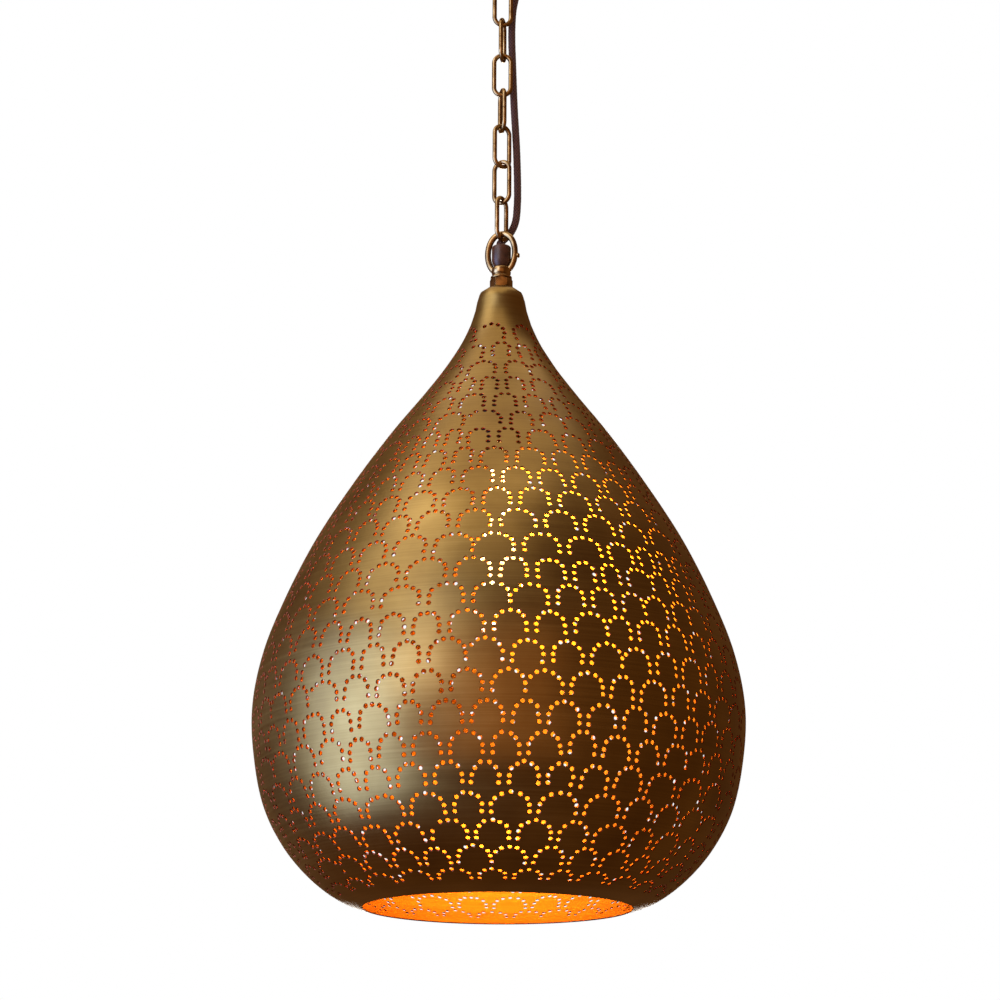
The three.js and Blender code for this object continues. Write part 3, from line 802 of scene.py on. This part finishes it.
def build_shade():
    skin = Skin()
    holes = punched_holes(skin)
    sheet = flat_sheet(skin, holes)
    triangles = sheet[3]
    heights = skin.along(sheet[0][:, 1])[triangles].mean(1)
    split = float(np.median(heights))
    upper = skin_band("shade_upper", skin, sheet, holes, triangles[heights >= split])
    lower = skin_band("shade_lower", skin, sheet, holes, triangles[heights < split])
    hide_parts("shade")
    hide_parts("shade")


build_shade()

# ---------------------------------------------------------------- chain

LINK_BEND, LINK_STRAIGHT, LINK_WIRE = 7.25 * MM, 23.55 * MM, 1.95 * MM
LINK_YAWS = [8, 78, 0, -75, 30, -28, 57]
BUTT_JOINT = 0.32 * MM


def model_link():
    """One chain link: a ring parted across its middle and drawn out to an oval, with a butt joint in one side."""
    deselect()
    bpy.ops.mesh.primitive_torus_add(
        major_segments=48, minor_segments=20, major_radius=LINK_BEND, minor_radius=LINK_WIRE,
        rotation=(math.pi / 2, 0, 0),
    )
    link = bpy.context.object
    bpy.ops.object.transform_apply(location=False, rotation=True, scale=False)
    bpy.ops.object.mode_set(mode="EDIT")
    bpy.ops.mesh.select_all(action="SELECT")
    half_segment = FULL_TURN / 96
    bpy.ops.transform.rotate(value=half_segment, orient_axis="Y", center_override=(0, 0, 0))
    for side in (1, -1):
        pick(link, lambda f: side * f.calc_center_median().z > 0.1 * MM)
        bpy.ops.transform.translate(value=(0, 0, side * LINK_STRAIGHT / 2))
    for height in (-BUTT_JOINT, 0, BUTT_JOINT):
        pick(link, lambda f: f.calc_center_median().x > 0 and len(f.verts) == 4
             and abs(f.calc_center_median().z) < LINK_STRAIGHT / 2)
        bpy.ops.mesh.bisect(plane_co=(0, 0, height), plane_no=(0, 0, 1))
    pick(link, lambda e: all(v.co.x > 0 and abs(v.co.z) < 0.01 * MM for v in e.verts), "EDGE")
    bpy.ops.transform.resize(value=(0.84, 0.84, 1), center_override=(LINK_BEND, 0, 0))
    bpy.ops.object.mode_set(mode="OBJECT")
    return link


def build_chain():
    pattern = model_link()
    for i, yaw in enumerate(LINK_YAWS):
        node = f"link_{i + 1}"
        link = copy_of(pattern, f"chain_link_{i + 1}")
        link.location = (0, 0, centre_of(node).z)
        link.rotation_euler = (0, 0, math.radians(yaw + 180 * (i % 3 == 1)))
        fit(link, node, "aged_brass", ANTIQUED)
    bpy.data.objects.remove(pattern)


# ---------------------------------------------------------------- loops, nut and grip

LOOP_WIRE, LOOP_HALF_WIDTH, LOOP_HALF_HEIGHT, LOOP_SUNK = 2.6 * MM, 12.3 * MM, 17.95 * MM, 4.8 * MM
TUBE_BORE, TUBE_HOLE = 3.6 * MM, 5.2 * MM
ROSE_LOOP_YAW, LAMP_LOOP_YAW = -86, -20
LOOP_COLLAR = millimetres(
    (3, 0), (6.9, 0), (7.8, -0.7), (8.2, -1.8), (8.2, -5.6), (7.7, -6.6), (7.1, -7.1), (7.1, -7.7),
    (8.3, -8.1), (9.0, -8.7), (9.2, -9.3), (9.2, -10.4), (5.2, -10.4), (5.2, -4.7), (3, -4.7),
)


def model_loop(name):
    """A cast loop on its collar. The collar's free end is at height 0 and the loop stands over it."""
    collar = turn(name, LOOP_COLLAR, close=True)
    soften(collar, 0.25 * MM)
    deselect()
    rise = LOOP_HALF_HEIGHT - LOOP_SUNK
    bpy.ops.curve.primitive_bezier_circle_add(radius=LOOP_HALF_WIDTH)
    ring = bpy.context.object
    bpy.ops.object.mode_set(mode="EDIT")
    bpy.ops.curve.select_all(action="SELECT")
    bpy.ops.transform.resize(value=(1, LOOP_HALF_HEIGHT / LOOP_HALF_WIDTH, 1), center_override=(0, 0, 0))
    bpy.ops.object.mode_set(mode="OBJECT")
    ring.data.bevel_depth = LOOP_WIRE
    ring.data.bevel_resolution = 8
    ring.data.resolution_u = 20
    bpy.ops.object.convert(target="MESH")
    ring = bpy.context.object
    ring.rotation_euler = (math.pi / 2, 0, 0)
    ring.location = (0, 0, rise)
    bpy.ops.object.transform_apply(location=True, rotation=True, scale=True)
    make_active(collar)
    weld = collar.modifiers.new("one casting", "BOOLEAN")
    weld.operation = "UNION"
    weld.object = ring
    bpy.ops.object.modifier_apply(modifier=weld.name)
    bpy.data.objects.remove(ring)
    cut_away(collar, drill(TUBE_BORE, 4 * LOOP_SUNK, (0, 0, -LOOP_SUNK)))
    return collar


def build_loops():
    lamp = model_loop("lamp_loop_casting")
    lamp.location = (0, 0, COLLAR_TOP)
    lamp.rotation_euler = (0, 0, math.radians(LAMP_LOOP_YAW))
    fit(lamp, "lamp_loop", "aged_brass", ANTIQUED)
    rose = model_loop("rose_loop_casting")
    collar_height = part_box("rose_loop")[1].z - (CANOPY_FLOOR - 0.3 * MM)
    rose.location = (0, 0, CANOPY_FLOOR - 0.3 * MM + collar_height + LOOP_COLLAR[-4][1])
    rose.rotation_euler = (math.pi, 0, math.radians(-ROSE_LOOP_YAW))
    fit(rose, "rose_loop", "aged_brass", ANTIQUED)


def slotted_screw(name, radius, length, head, head_height, slot=0.7 * MM):
    """A slotted screw, head up, the head's underside at height 0. Its shank carries a rolled thread."""
    turns = int(length / MM)
    thread = [(radius - 0.3 * MM * (i % 2), -length + i * length / (2 * turns)) for i in range(2 * turns)]
    outline = [
        (0, -length), *thread, (radius, 0), (head, 0), (head, 0.5 * head_height),
        (0.72 * head, head_height), (0, head_height),
    ]
    screw = turn(name, outline, steps=32)
    deselect()
    bpy.ops.mesh.primitive_cube_add(size=1, location=(0, 0, head_height), scale=(3 * head, slot, head_height))
    cutter = bpy.context.object
    bpy.ops.object.transform_apply(location=True, rotation=True, scale=True)
    cut_away(screw, cutter)
    soften(screw, 0.12 * MM, segments=1)
    return screw


def hex_nut(name, across_flats, bottom, height):
    """A hexagon nut: a bar with both its ends chamfered, its six flats milled, then bored."""
    corner, flat, chamfer = across_flats / math.sqrt(3), across_flats / 2, 0.07 * across_flats
    top = bottom + height
    nut = turn(name, [
        (0, bottom), (flat, bottom), (corner, bottom + chamfer), (corner, top - chamfer), (flat, top), (0, top),
    ])
    bpy.ops.object.mode_set(mode="EDIT")
    for i in range(6):
        way = Vector((math.sin(i * FULL_TURN / 6), math.cos(i * FULL_TURN / 6), 0))
        pick(nut, lambda f: True)
        bpy.ops.mesh.bisect(plane_co=way * flat, plane_no=way, clear_outer=True, use_fill=True)
    bpy.ops.object.mode_set(mode="OBJECT")
    cut_away(nut, drill(TUBE_HOLE, 3 * height, (0, 0, bottom + height / 2)))
    soften(nut, 0.15 * MM)
    return nut


def nut_for(node, across_flats, material, slot):
    low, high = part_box(node)
    nut = hex_nut(f"{node}_hexagon", across_flats, low.z, high.z - low.z)
    fit(nut, node, slot, material, angle=25)


def washer_for(node, material):
    low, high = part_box(node)
    outline = [(TUBE_HOLE, low.z), (high.x, low.z), (high.x, high.z), (TUBE_HOLE, high.z)]
    washer = turn(f"{node}_disc", outline, steps=72, close=True)
    soften(washer, 0.2 * MM)
    fit(washer, node, "zinced_steel", material)


def threaded_tube_for(node, material):
    """A tube with an M10 thread over its whole length, one ridge to the millimetre."""
    low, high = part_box(node)
    ridges = round((high.z - low.z) / MM)
    crest, root = high.x, high.x - 0.45 * MM
    side = []
    for i in range(ridges):
        z = low.z + (high.z - low.z) * i / ridges
        side += [(root, z), (crest, z + 0.5 * MM)]
    outline = [(TUBE_BORE, low.z), *side, (root, high.z), (TUBE_BORE, high.z)]
    tube = turn(f"{node}_threaded", outline, steps=40, close=True)
    fit(tube, node, "plain_brass", material)


def build_cord_grip():
    """The moulded grip that holds the flex inside the loop: tapered foot, round body."""
    low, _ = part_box("cord_grip")
    foot = low.z
    outline = [(r * MM, foot + h * MM) for r, h in (
        (3.3, 0), (5.6, 0), (6.3, 0.9), (7.3, 2.8), (7.9, 4.4), (8.2, 6.4), (8.2, 17.8), (7.9, 18.6), (7.2, 19),
        (5.9, 19), (4.2, 17), (3.3, 12),
    )]
    grip = turn("cord_grip_moulding", outline, close=True)
    soften(grip, 0.2 * MM)
    fit(grip, "cord_grip", "brown_plastic", BROWN)


def build_grub_screw():
    """The low slotted screw in the loop's side; its head stands just proud of the casting."""
    low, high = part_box("loop_grub_screw")
    middle = (low + high) / 2
    way = Vector((middle.x, middle.y, 0)).normalized()
    screw = slotted_screw("loop_grub_screw_slotted", 1.5 * MM, 1.0 * MM, 2.2 * MM, 1.4 * MM, slot=0.5 * MM)
    screw.rotation_euler = way.to_track_quat("Z", "Y").to_euler()
    screw.location = way * 14.9 * MM + Vector((0, 0, middle.z))
    fit(screw, "loop_grub_screw", "aged_brass", ANTIQUED)


# ---------------------------------------------------------------- ceiling rose


def build_bracket():
    """A folded steel strap: two legs with tapped holes, two long slots, an earth hole."""
    low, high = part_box("ceiling_bracket")
    sheet = 2 * MM
    deselect()
    bpy.ops.mesh.primitive_cube_add(
        size=1, location=(0, 0, high.z - sheet / 2), scale=(high.x - low.x, high.y - low.y, sheet)
    )
    strap = bpy.context.object
    strap.name = strap.data.name = "bracket_strap"
    bpy.ops.object.transform_apply(location=True, rotation=True, scale=True)
    bpy.ops.object.mode_set(mode="EDIT")
    for side in (-1, 1):
        pick(strap, lambda f: True)
        bpy.ops.mesh.bisect(plane_co=(side * (high.x - sheet), 0, 0), plane_no=(1, 0, 0))
    pick(strap, lambda f: f.normal.z < -0.9 and abs(f.calc_center_median().x) > high.x - sheet)
    bpy.ops.mesh.extrude_region_move(TRANSFORM_OT_translate={"value": (0, 0, low.z - high.z + sheet)})
    pick(strap, lambda e: abs(abs(e.verts[0].co.x) - high.x) < 0.01 * MM
         and all(abs(v.co.z - high.z) < 0.01 * MM for v in e.verts)
         and abs(e.verts[0].co.x - e.verts[1].co.x) < 0.01 * MM, "EDGE")
    bpy.ops.mesh.bevel(offset=1.8 * MM, segments=5)
    bpy.ops.object.mode_set(mode="OBJECT")
    slots = []
    for side in (-1, 1):
        slot = drill(2.5 * MM, 5 * sheet, (side * 30 * MM, 0, high.z))
        bpy.ops.object.transform_apply(location=True, rotation=True, scale=True)
        bpy.ops.object.mode_set(mode="EDIT")
        for end in (-1, 1):
            pick(slot, lambda e: all(end * (v.co.x - side * 30 * MM) > 0.1 * MM for v in e.verts), "EDGE")
            bpy.ops.transform.translate(value=(end * 3.5 * MM, 0, 0))
        bpy.ops.object.mode_set(mode="OBJECT")
        slots.append(slot)
    screw_height = centre_of("canopy_screw_right").z
    legs = drill(2.3 * MM, 3 * high.x, (0, 0, screw_height), axis="X")
    earth = drill(1.9 * MM, 5 * sheet, (*centre_of("earth_screw").xy, high.z))
    cut_away(strap, *slots, legs, earth)
    soften(strap, 0.25 * MM)
    fit(strap, "ceiling_bracket", "zinced_steel", ZINC)


def build_canopy():
    """The spun cover: straight side, one round shoulder, flat floor, its lip narrowed to a small ridge."""
    low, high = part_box("canopy")
    r = high.x
    wall = 1 * MM
    side = [(r, high.z - 0.2 * MM), (r, high.z - 6 * MM), (r, -16 * MM)]
    shoulder = bezier((r, -16 * MM), (r - 2 * MM, -45 * MM), (45 * MM, low.z), (28 * MM, low.z), 16)
    outer = [*side, *shoulder[1:], (TUBE_HOLE, low.z)]
    inner = [(TUBE_HOLE, low.z + wall), (28 * MM, low.z + wall)]
    inner += [(p[0] - wall * (0.35 + 0.65 * i / 15), p[1] + wall * (1 - i / 15)) for i, p in enumerate(shoulder[::-1])][1:]
    inner += [(r - wall, -6 * MM), (r - wall, high.z - 0.2 * MM), (r - 0.5 * wall, high.z)]
    shell = turn("canopy_shell", outer + inner, steps=96, close=True)
    screw_height = centre_of("canopy_screw_right").z
    hole = centre_of("flex_bushing")
    cut_away(
        shell,
        drill(2.3 * MM, 3 * r, (0, 0, screw_height), axis="X"),
        drill(4.9 * MM, 12 * MM, (hole.x, hole.y, low.z)),
    )
    fit(shell, "canopy", "brushed_brass", BRUSHED)


def build_canopy_screws():
    for side, node in ((1, "canopy_screw_right"), (-1, "canopy_screw_left")):
        screw = slotted_screw(f"{node}_slotted", 2 * MM, 10 * MM, 3.6 * MM, 2.4 * MM)
        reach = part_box("canopy")[1].x + 0.3 * MM
        screw.rotation_euler = (0, side * math.pi / 2, 0)
        screw.location = (side * reach, 0, centre_of(node).z)
        fit(screw, node, "aged_brass", ANTIQUED)


def build_bushing():
    """The flex bushing: a flange under the rose, a ribbed taper below it, a neck up through the hole."""
    low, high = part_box("flex_bushing")
    under = CANOPY_FLOOR - 0.3 * MM
    taper = []
    for i in range(6):
        z = under - 3.2 * MM - i * 2.7 * MM
        r = (5.4 - 0.22 * i) * MM
        taper += [(r, z), (r, z - 1.5 * MM), (r - 0.6 * MM, z - 1.8 * MM), (r - 0.6 * MM, z - 2.4 * MM)]
    outline = [
        (3.2 * MM, high.z), (4.6 * MM, high.z), (4.6 * MM, under), (6.5 * MM, under),
        (6.5 * MM, under - 2.2 * MM), (5.4 * MM, under - 2.6 * MM), *taper,
        (4.2 * MM, low.z), (3.2 * MM, low.z),
    ]
    bushing = turn("flex_bushing_moulding", outline, steps=48, close=True)
    soften(bushing, 0.15 * MM, segments=1)
    bushing.location = (centre_of("flex_bushing").x, centre_of("flex_bushing").y, 0)
    fit(bushing, "flex_bushing", "brown_plastic", BROWN)


def build_terminals():
    """A three-way terminal block: screw wells from below, wire entries from the sides."""
    low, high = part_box("terminal_block")
    middle, size = (low + high) / 2, high - low
    deselect()
    bpy.ops.mesh.primitive_cube_add(size=1, location=middle, scale=size)
    block = bpy.context.object
    block.name = block.data.name = "terminal_block_moulding"
    bpy.ops.object.transform_apply(location=True, rotation=True, scale=True)
    bpy.ops.object.mode_set(mode="EDIT")
    for x in (-4 * MM, 4 * MM):
        pick(block, lambda f: True)
        bpy.ops.mesh.bisect(plane_co=(middle.x + x, 0, 0), plane_no=(1, 0, 0))
    bpy.ops.object.mode_set(mode="OBJECT")
    cutters = []
    for i in (1, 2, 3):
        screw = centre_of(f"terminal_screw_{i}")
        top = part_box(f"terminal_screw_{i}")[1].z
        cutters.append(drill(2.9 * MM, 20 * MM, (screw.x, screw.y, top + 8 * MM)))
        cutters.append(drill(1.6 * MM, 40 * MM, (screw.x, screw.y, low.z + 3 * MM), axis="Y"))
    groove = 0.8 * MM
    for x in (-4 * MM, 4 * MM):
        deselect()
        bpy.ops.mesh.primitive_cube_add(
            size=1, location=(middle.x + x, middle.y, high.z), scale=(groove, 2 * size.y, 5 * MM)
        )
        cutters.append(bpy.context.object)
    cut_away(block, *cutters)
    soften(block, 0.3 * MM)
    fit(block, "terminal_block", "white_plastic", WHITE)
    for i in (1, 2, 3):
        node = f"terminal_screw_{i}"
        low_screw, high_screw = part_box(node)
        screw = slotted_screw(f"{node}_slotted", 1.6 * MM, 3.2 * MM, 2.3 * MM, 1.8 * MM, slot=0.6 * MM)
        screw.location = (*((low_screw + high_screw) / 2).xy, high_screw.z - 1.9 * MM)
        screw.rotation_euler = (0, 0, math.radians(35 * i))
        fit(screw, node, "plain_brass", PLAIN_BRASS)


def build_earth_screw():
    low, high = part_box("earth_screw")
    screw = slotted_screw("earth_screw_slotted", 1.6 * MM, high.z - low.z - 2.5 * MM, 3.4 * MM, 2.4 * MM)
    screw.rotation_euler = (math.pi, 0, math.radians(20))
    screw.location = (*centre_of("earth_screw").xy, low.z + 2.5 * MM)
    fit(screw, "earth_screw", "plain_brass", PLAIN_BRASS)


# ---------------------------------------------------------------- lampholder and bulb


def build_holder():
    cap = turn("holder_cap_dome", above_rim(
        (5.2, 447), (7.4, 447), (8.2, 446.4), (9.6, 442.6), (13.2, 439.4), (16.6, 436.6), (19.2, 433.4),
        (20, 431.6), (20, 428), (18.5, 428), (18.5, 430), (14, 434.4), (5.2, 436.2),
    ), close=True)
    soften(cap, 0.3 * MM)
    fit(cap, "holder_cap", "black_plastic", BLACK)

    ribs = []
    for i in range(6):
        h = 425 - 2.1 * i
        ribs += [(20, h), (20, h - 1.2), (19.5, h - 1.5), (19.5, h - 1.9)]
    body = turn("holder_body_shell", above_rim(
        (17, 427.7), (20, 427.7), *ribs, (19, 411), (19, 386), (18.4, 385), (15, 385), (15, 420.7), (17, 422.7),
    ), close=True)
    soften(body, 0.15 * MM, segments=1)
    fit(body, "holder_body", "black_plastic", BLACK)

    low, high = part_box("holder_ring")
    inner = 19.3 * MM
    ring = turn("holder_ring_knurled", [
        (inner, low.z), (high.x - 0.9 * MM, low.z), (high.x - 0.9 * MM, high.z), (inner, high.z),
    ], steps=96, close=True)
    make_active(ring)
    bpy.ops.object.mode_set(mode="EDIT")
    every_other = lambda a: round((a % FULL_TURN) / (FULL_TURN / 96) - 0.5) % 3 != 2
    pick(ring, lambda f: f.calc_center_median().xy.length > high.x - 1.2 * MM and abs(f.normal.z) < 0.1
         and every_other(math.atan2(f.calc_center_median().y, f.calc_center_median().x)))
    bpy.ops.mesh.extrude_region_shrink_fatten(TRANSFORM_OT_shrink_fatten={"value": 0.85 * MM})
    bpy.ops.object.mode_set(mode="OBJECT")
    fit(ring, "holder_ring", "black_plastic", BLACK)

    insert = turn("holder_insert_glazed", above_rim(
        (0, 419.7), (4, 419.7), (4, 417.7), (14.7, 417.7), (14.7, 420.7), (16.7, 423), (16.7, 427.7), (0, 427.7),
    ))
    soften(insert, 0.3 * MM)
    fit(insert, "holder_insert", "ceramic", CERAMIC)

    contact = turn("holder_contact_spring", above_rim(
        (0, 417.6), (2.2, 417.6), (3, 418), (3.4, 418.6), (3.4, 419.4), (0, 419.4),
    ), steps=32)
    fit(contact, "holder_contact", "plain_brass", PLAIN_BRASS)

    low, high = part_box("lamp_lead")
    lead = turn("lamp_lead_sheath", [
        (0, low.z), (2.2 * MM, low.z), (2.6 * MM, low.z + 0.4 * MM), (2.6 * MM, high.z - 0.4 * MM),
        (2.2 * MM, high.z), (0, high.z),
    ], steps=32)
    fit(lead, "lamp_lead", "black_plastic", PVC)


BULB_RADIUS, BULB_BOTTOM, BULB_NECK = 22.5, 222, 387  # millimetres; heights are above the rim
FILAMENT_RUNS = 8
FILAMENT_BOTTOM, FILAMENT_TOP = RIM + 250.2 * MM, RIM + 371.6 * MM


def bulb_skin(inset):
    """The envelope's outline from its neck to its round end, moved in by the inset."""
    neck, r = 11.5 - inset, BULB_RADIUS - inset
    side = bezier((neck, BULB_NECK), (neck, BULB_NECK - 22), (r, BULB_NECK - 20), (r, BULB_NECK - 52), 14)
    end = bezier((r, BULB_BOTTOM + 24), (r, BULB_BOTTOM + 9), (12, BULB_BOTTOM + inset), (0, BULB_BOTTOM + inset), 14)
    return side + end


def build_bulb():
    skin = bulb_skin(0)
    glass = turn("bulb_envelope", above_rim(*skin[::-1], *bulb_skin(0.8)), steps=64)
    fit(glass, "bulb_glass", "bulb_glass", GLASS, angle=60)
    glass.visible_shadow = False

    thread = []
    for i in range(5):
        h = 404.5 - 3.6 * i
        thread += [(13, h), (12.9, h - 0.9), (12.1, h - 1.8), (12.9, h - 2.7)]
    shell = turn("bulb_cap_threaded", above_rim(
        (4.8, 411), (4.8, 412), (9, 412), (11.6, 408.6), (12.4, 406.6), *thread, (12.9, 386),
        (11.8, 386), (11.8, 406), (8, 410),
    ), close=True)
    fit(shell, "bulb_cap", "nickel", NICKEL, angle=50)

    contact = turn("bulb_contact_button", above_rim(
        (0, 409), (4.4, 409), (4.4, 412.4), (3.6, 413.4), (1.6, 414), (0, 414),
    ), steps=32)
    fit(contact, "bulb_contact", "nickel", NICKEL)

    stem = turn("bulb_stem_glass", above_rim(
        (0, 295), (1.2, 295.4), (1.6, 297), (1.6, 353), (3.2, 357), (3.2, 373), (5, 381), (8, 389), (8, 399), (0, 399),
    ), steps=32)
    fit(stem, "bulb_stem", "bulb_glass", GLASS, angle=60)
    stem.visible_shadow = False

    points = []
    for i in range(FILAMENT_RUNS):
        a = (i + 0.5) / FILAMENT_RUNS * 1.75 * math.pi
        turns = [(FILAMENT_TOP, 6.5 * MM), (FILAMENT_BOTTOM, 8.2 * MM)]
        for z, r in turns if i % 2 == 0 else turns[::-1]:
            points.append((r * math.cos(a), r * math.sin(a), z))
    hot = wire(draw("bulb_filament_wire", points), 0.32 * MM)
    hot.name = hot.data.name = "bulb_filament_wire"
    fit(hot, "bulb_filament", "filament", HOT)
    hot.visible_shadow = False


build_chain()
build_loops()
nut_for("top_nut", 17 * MM, ANTIQUED, "aged_brass")
nut_for("neck_locknut", 14 * MM, ZINC, "zinced_steel")
nut_for("stem_locknut", 14 * MM, ZINC, "zinced_steel")
washer_for("neck_washer", ZINC)
washer_for("stem_washer", ZINC)
threaded_tube_for("stem", PLAIN_BRASS)
threaded_tube_for("hanger_tube", PLAIN_BRASS)
build_cord_grip()
build_grub_screw()
build_bracket()
build_canopy()
build_canopy_screws()
build_bushing()
build_terminals()
build_earth_screw()
build_holder()
build_bulb()

# ---------------------------------------------------------------- studio

FLOOR = -3.0


def softbox(name, place, target, width, height, power, tint, spread=180):
    light = bpy.data.lights.new(name, "AREA")
    light.shape = "RECTANGLE"
    light.size, light.size_y = width, height
    light.energy = power
    light.spread = math.radians(spread)
    light.color = colour(tint)[:3]
    lamp = bpy.data.objects.new(name, light)
    lamp.location = place
    lamp.rotation_euler = (Vector(target) - Vector(place)).to_track_quat("-Z", "Y").to_euler()
    lamp.visible_camera = False
    bpy.context.collection.objects.link(lamp)


def inner_light(name, place, power, radius, tint):
    light = bpy.data.lights.new(name, "POINT")
    light.energy = power
    light.shadow_soft_size = radius
    light.color = colour(tint)[:3]
    lamp = bpy.data.objects.new(name, light)
    lamp.location = place
    bpy.context.collection.objects.link(lamp)


def inner_spot(name, place, target, power, width, tint):
    """A lamp inside the shade that throws its light one way, with soft edges."""
    light = bpy.data.lights.new(name, "SPOT")
    light.energy = power
    light.spot_size = math.radians(width)
    light.spot_blend = 1.0
    light.shadow_soft_size = 12 * MM
    light.color = colour(tint)[:3]
    lamp = bpy.data.objects.new(name, light)
    lamp.location = place
    lamp.rotation_euler = (Vector(target) - Vector(place)).to_track_quat("-Z", "Y").to_euler()
    bpy.context.collection.objects.link(lamp)


def build_studio():
    scene = bpy.context.scene
    scene.view_settings.view_transform = "Standard"
    world = bpy.data.worlds.new("studio")
    scene.world = world
    world.use_nodes = True
    tree = world.node_tree
    sky = tree.nodes["Background"]
    sky.inputs["Color"].default_value = colour("#FFFFFF")
    # the backdrop is white and lights plain surfaces evenly; polished metal sees a dim warm room
    dim = add(tree, "ShaderNodeBackground", {"Color": colour("#C4844C"), "Strength": 0.26})
    even = add(tree, "ShaderNodeBackground", {"Color": colour("#FFF6EA"), "Strength": 0.9})
    path = add(tree, "ShaderNodeLightPath").outputs
    plain = add(tree, "ShaderNodeMixShader", {0: path["Is Diffuse Ray"], 1: dim.outputs[0], 2: even.outputs[0]})
    mixed = add(tree, "ShaderNodeMixShader", {0: path["Is Camera Ray"], 1: plain.outputs[0], 2: sky.outputs[0]})
    tree.links.new(mixed.outputs[0], tree.nodes["World Output"].inputs["Surface"])

    deselect()
    bpy.ops.mesh.primitive_plane_add(size=60, location=(0, 0, FLOOR))
    floor = bpy.context.object
    floor.name = "pale_floor"
    mat, tree, shader = new_material("pale_floor_paint", Roughness=0.7)
    place = add(tree, "ShaderNodeTexCoord").outputs["Object"]
    rolled = add(tree, "ShaderNodeTexNoise", {"Vector": place, "Scale": 3}).outputs["Fac"]
    tone = add(tree, "ShaderNodeValToRGB", {"Fac": rolled}, [(0.3, "#F0EEEA"), (0.7, "#F6F4F0")])
    tree.links.new(tone.outputs[0], shader.inputs["Base Color"])
    floor.data.materials.append(mat)
    floor.visible_glossy = False

    belly = Vector((0, 0, RIM + 0.16))
    softbox("left_softbox", belly + Vector((-1.85, -0.7, -0.15)), belly, 1.6, 2.8, 24, "#AEC6FF", 110)
    softbox("left_high_softbox", belly + Vector((-1.4, -0.5, 1.75)), belly, 1.3, 1.2, 3.5, "#F2ECE4", 120)
    softbox("left_front_softbox", belly + Vector((-1.15, -1.5, 0.9)), belly, 0.8, 2.0, 5, "#ECEEFF", 110)
    softbox("top_softbox", belly + Vector((-0.2, 0.1, 2.3)), belly, 2.8, 2.2, 18, "#FFE8C8")
    softbox("warm_front_fill", belly + Vector((-0.3, -2.4, 0.3)), belly, 3.2, 2.8, 5.5, "#FFB070", 120)
    softbox("back_softbox", belly + Vector((0.0, 2.9, 0.5)), belly, 0.9, 1.6, 11, "#F6F0E8", 90)
    bulb = Vector((0, 0, RIM + 0.29))
    inner_light("bulb_light", bulb, 0.07, 0.02, "#FFC478")
    inner_spot("bulb_throw", bulb, bulb + Vector((0.62, 0.92, 0.1)), 17, 108, "#FFCE8A")
    inner_spot("bulb_down", bulb, bulb + Vector((0.0, 0.6, -0.9)), 7, 72, "#FFBE68")


build_studio()
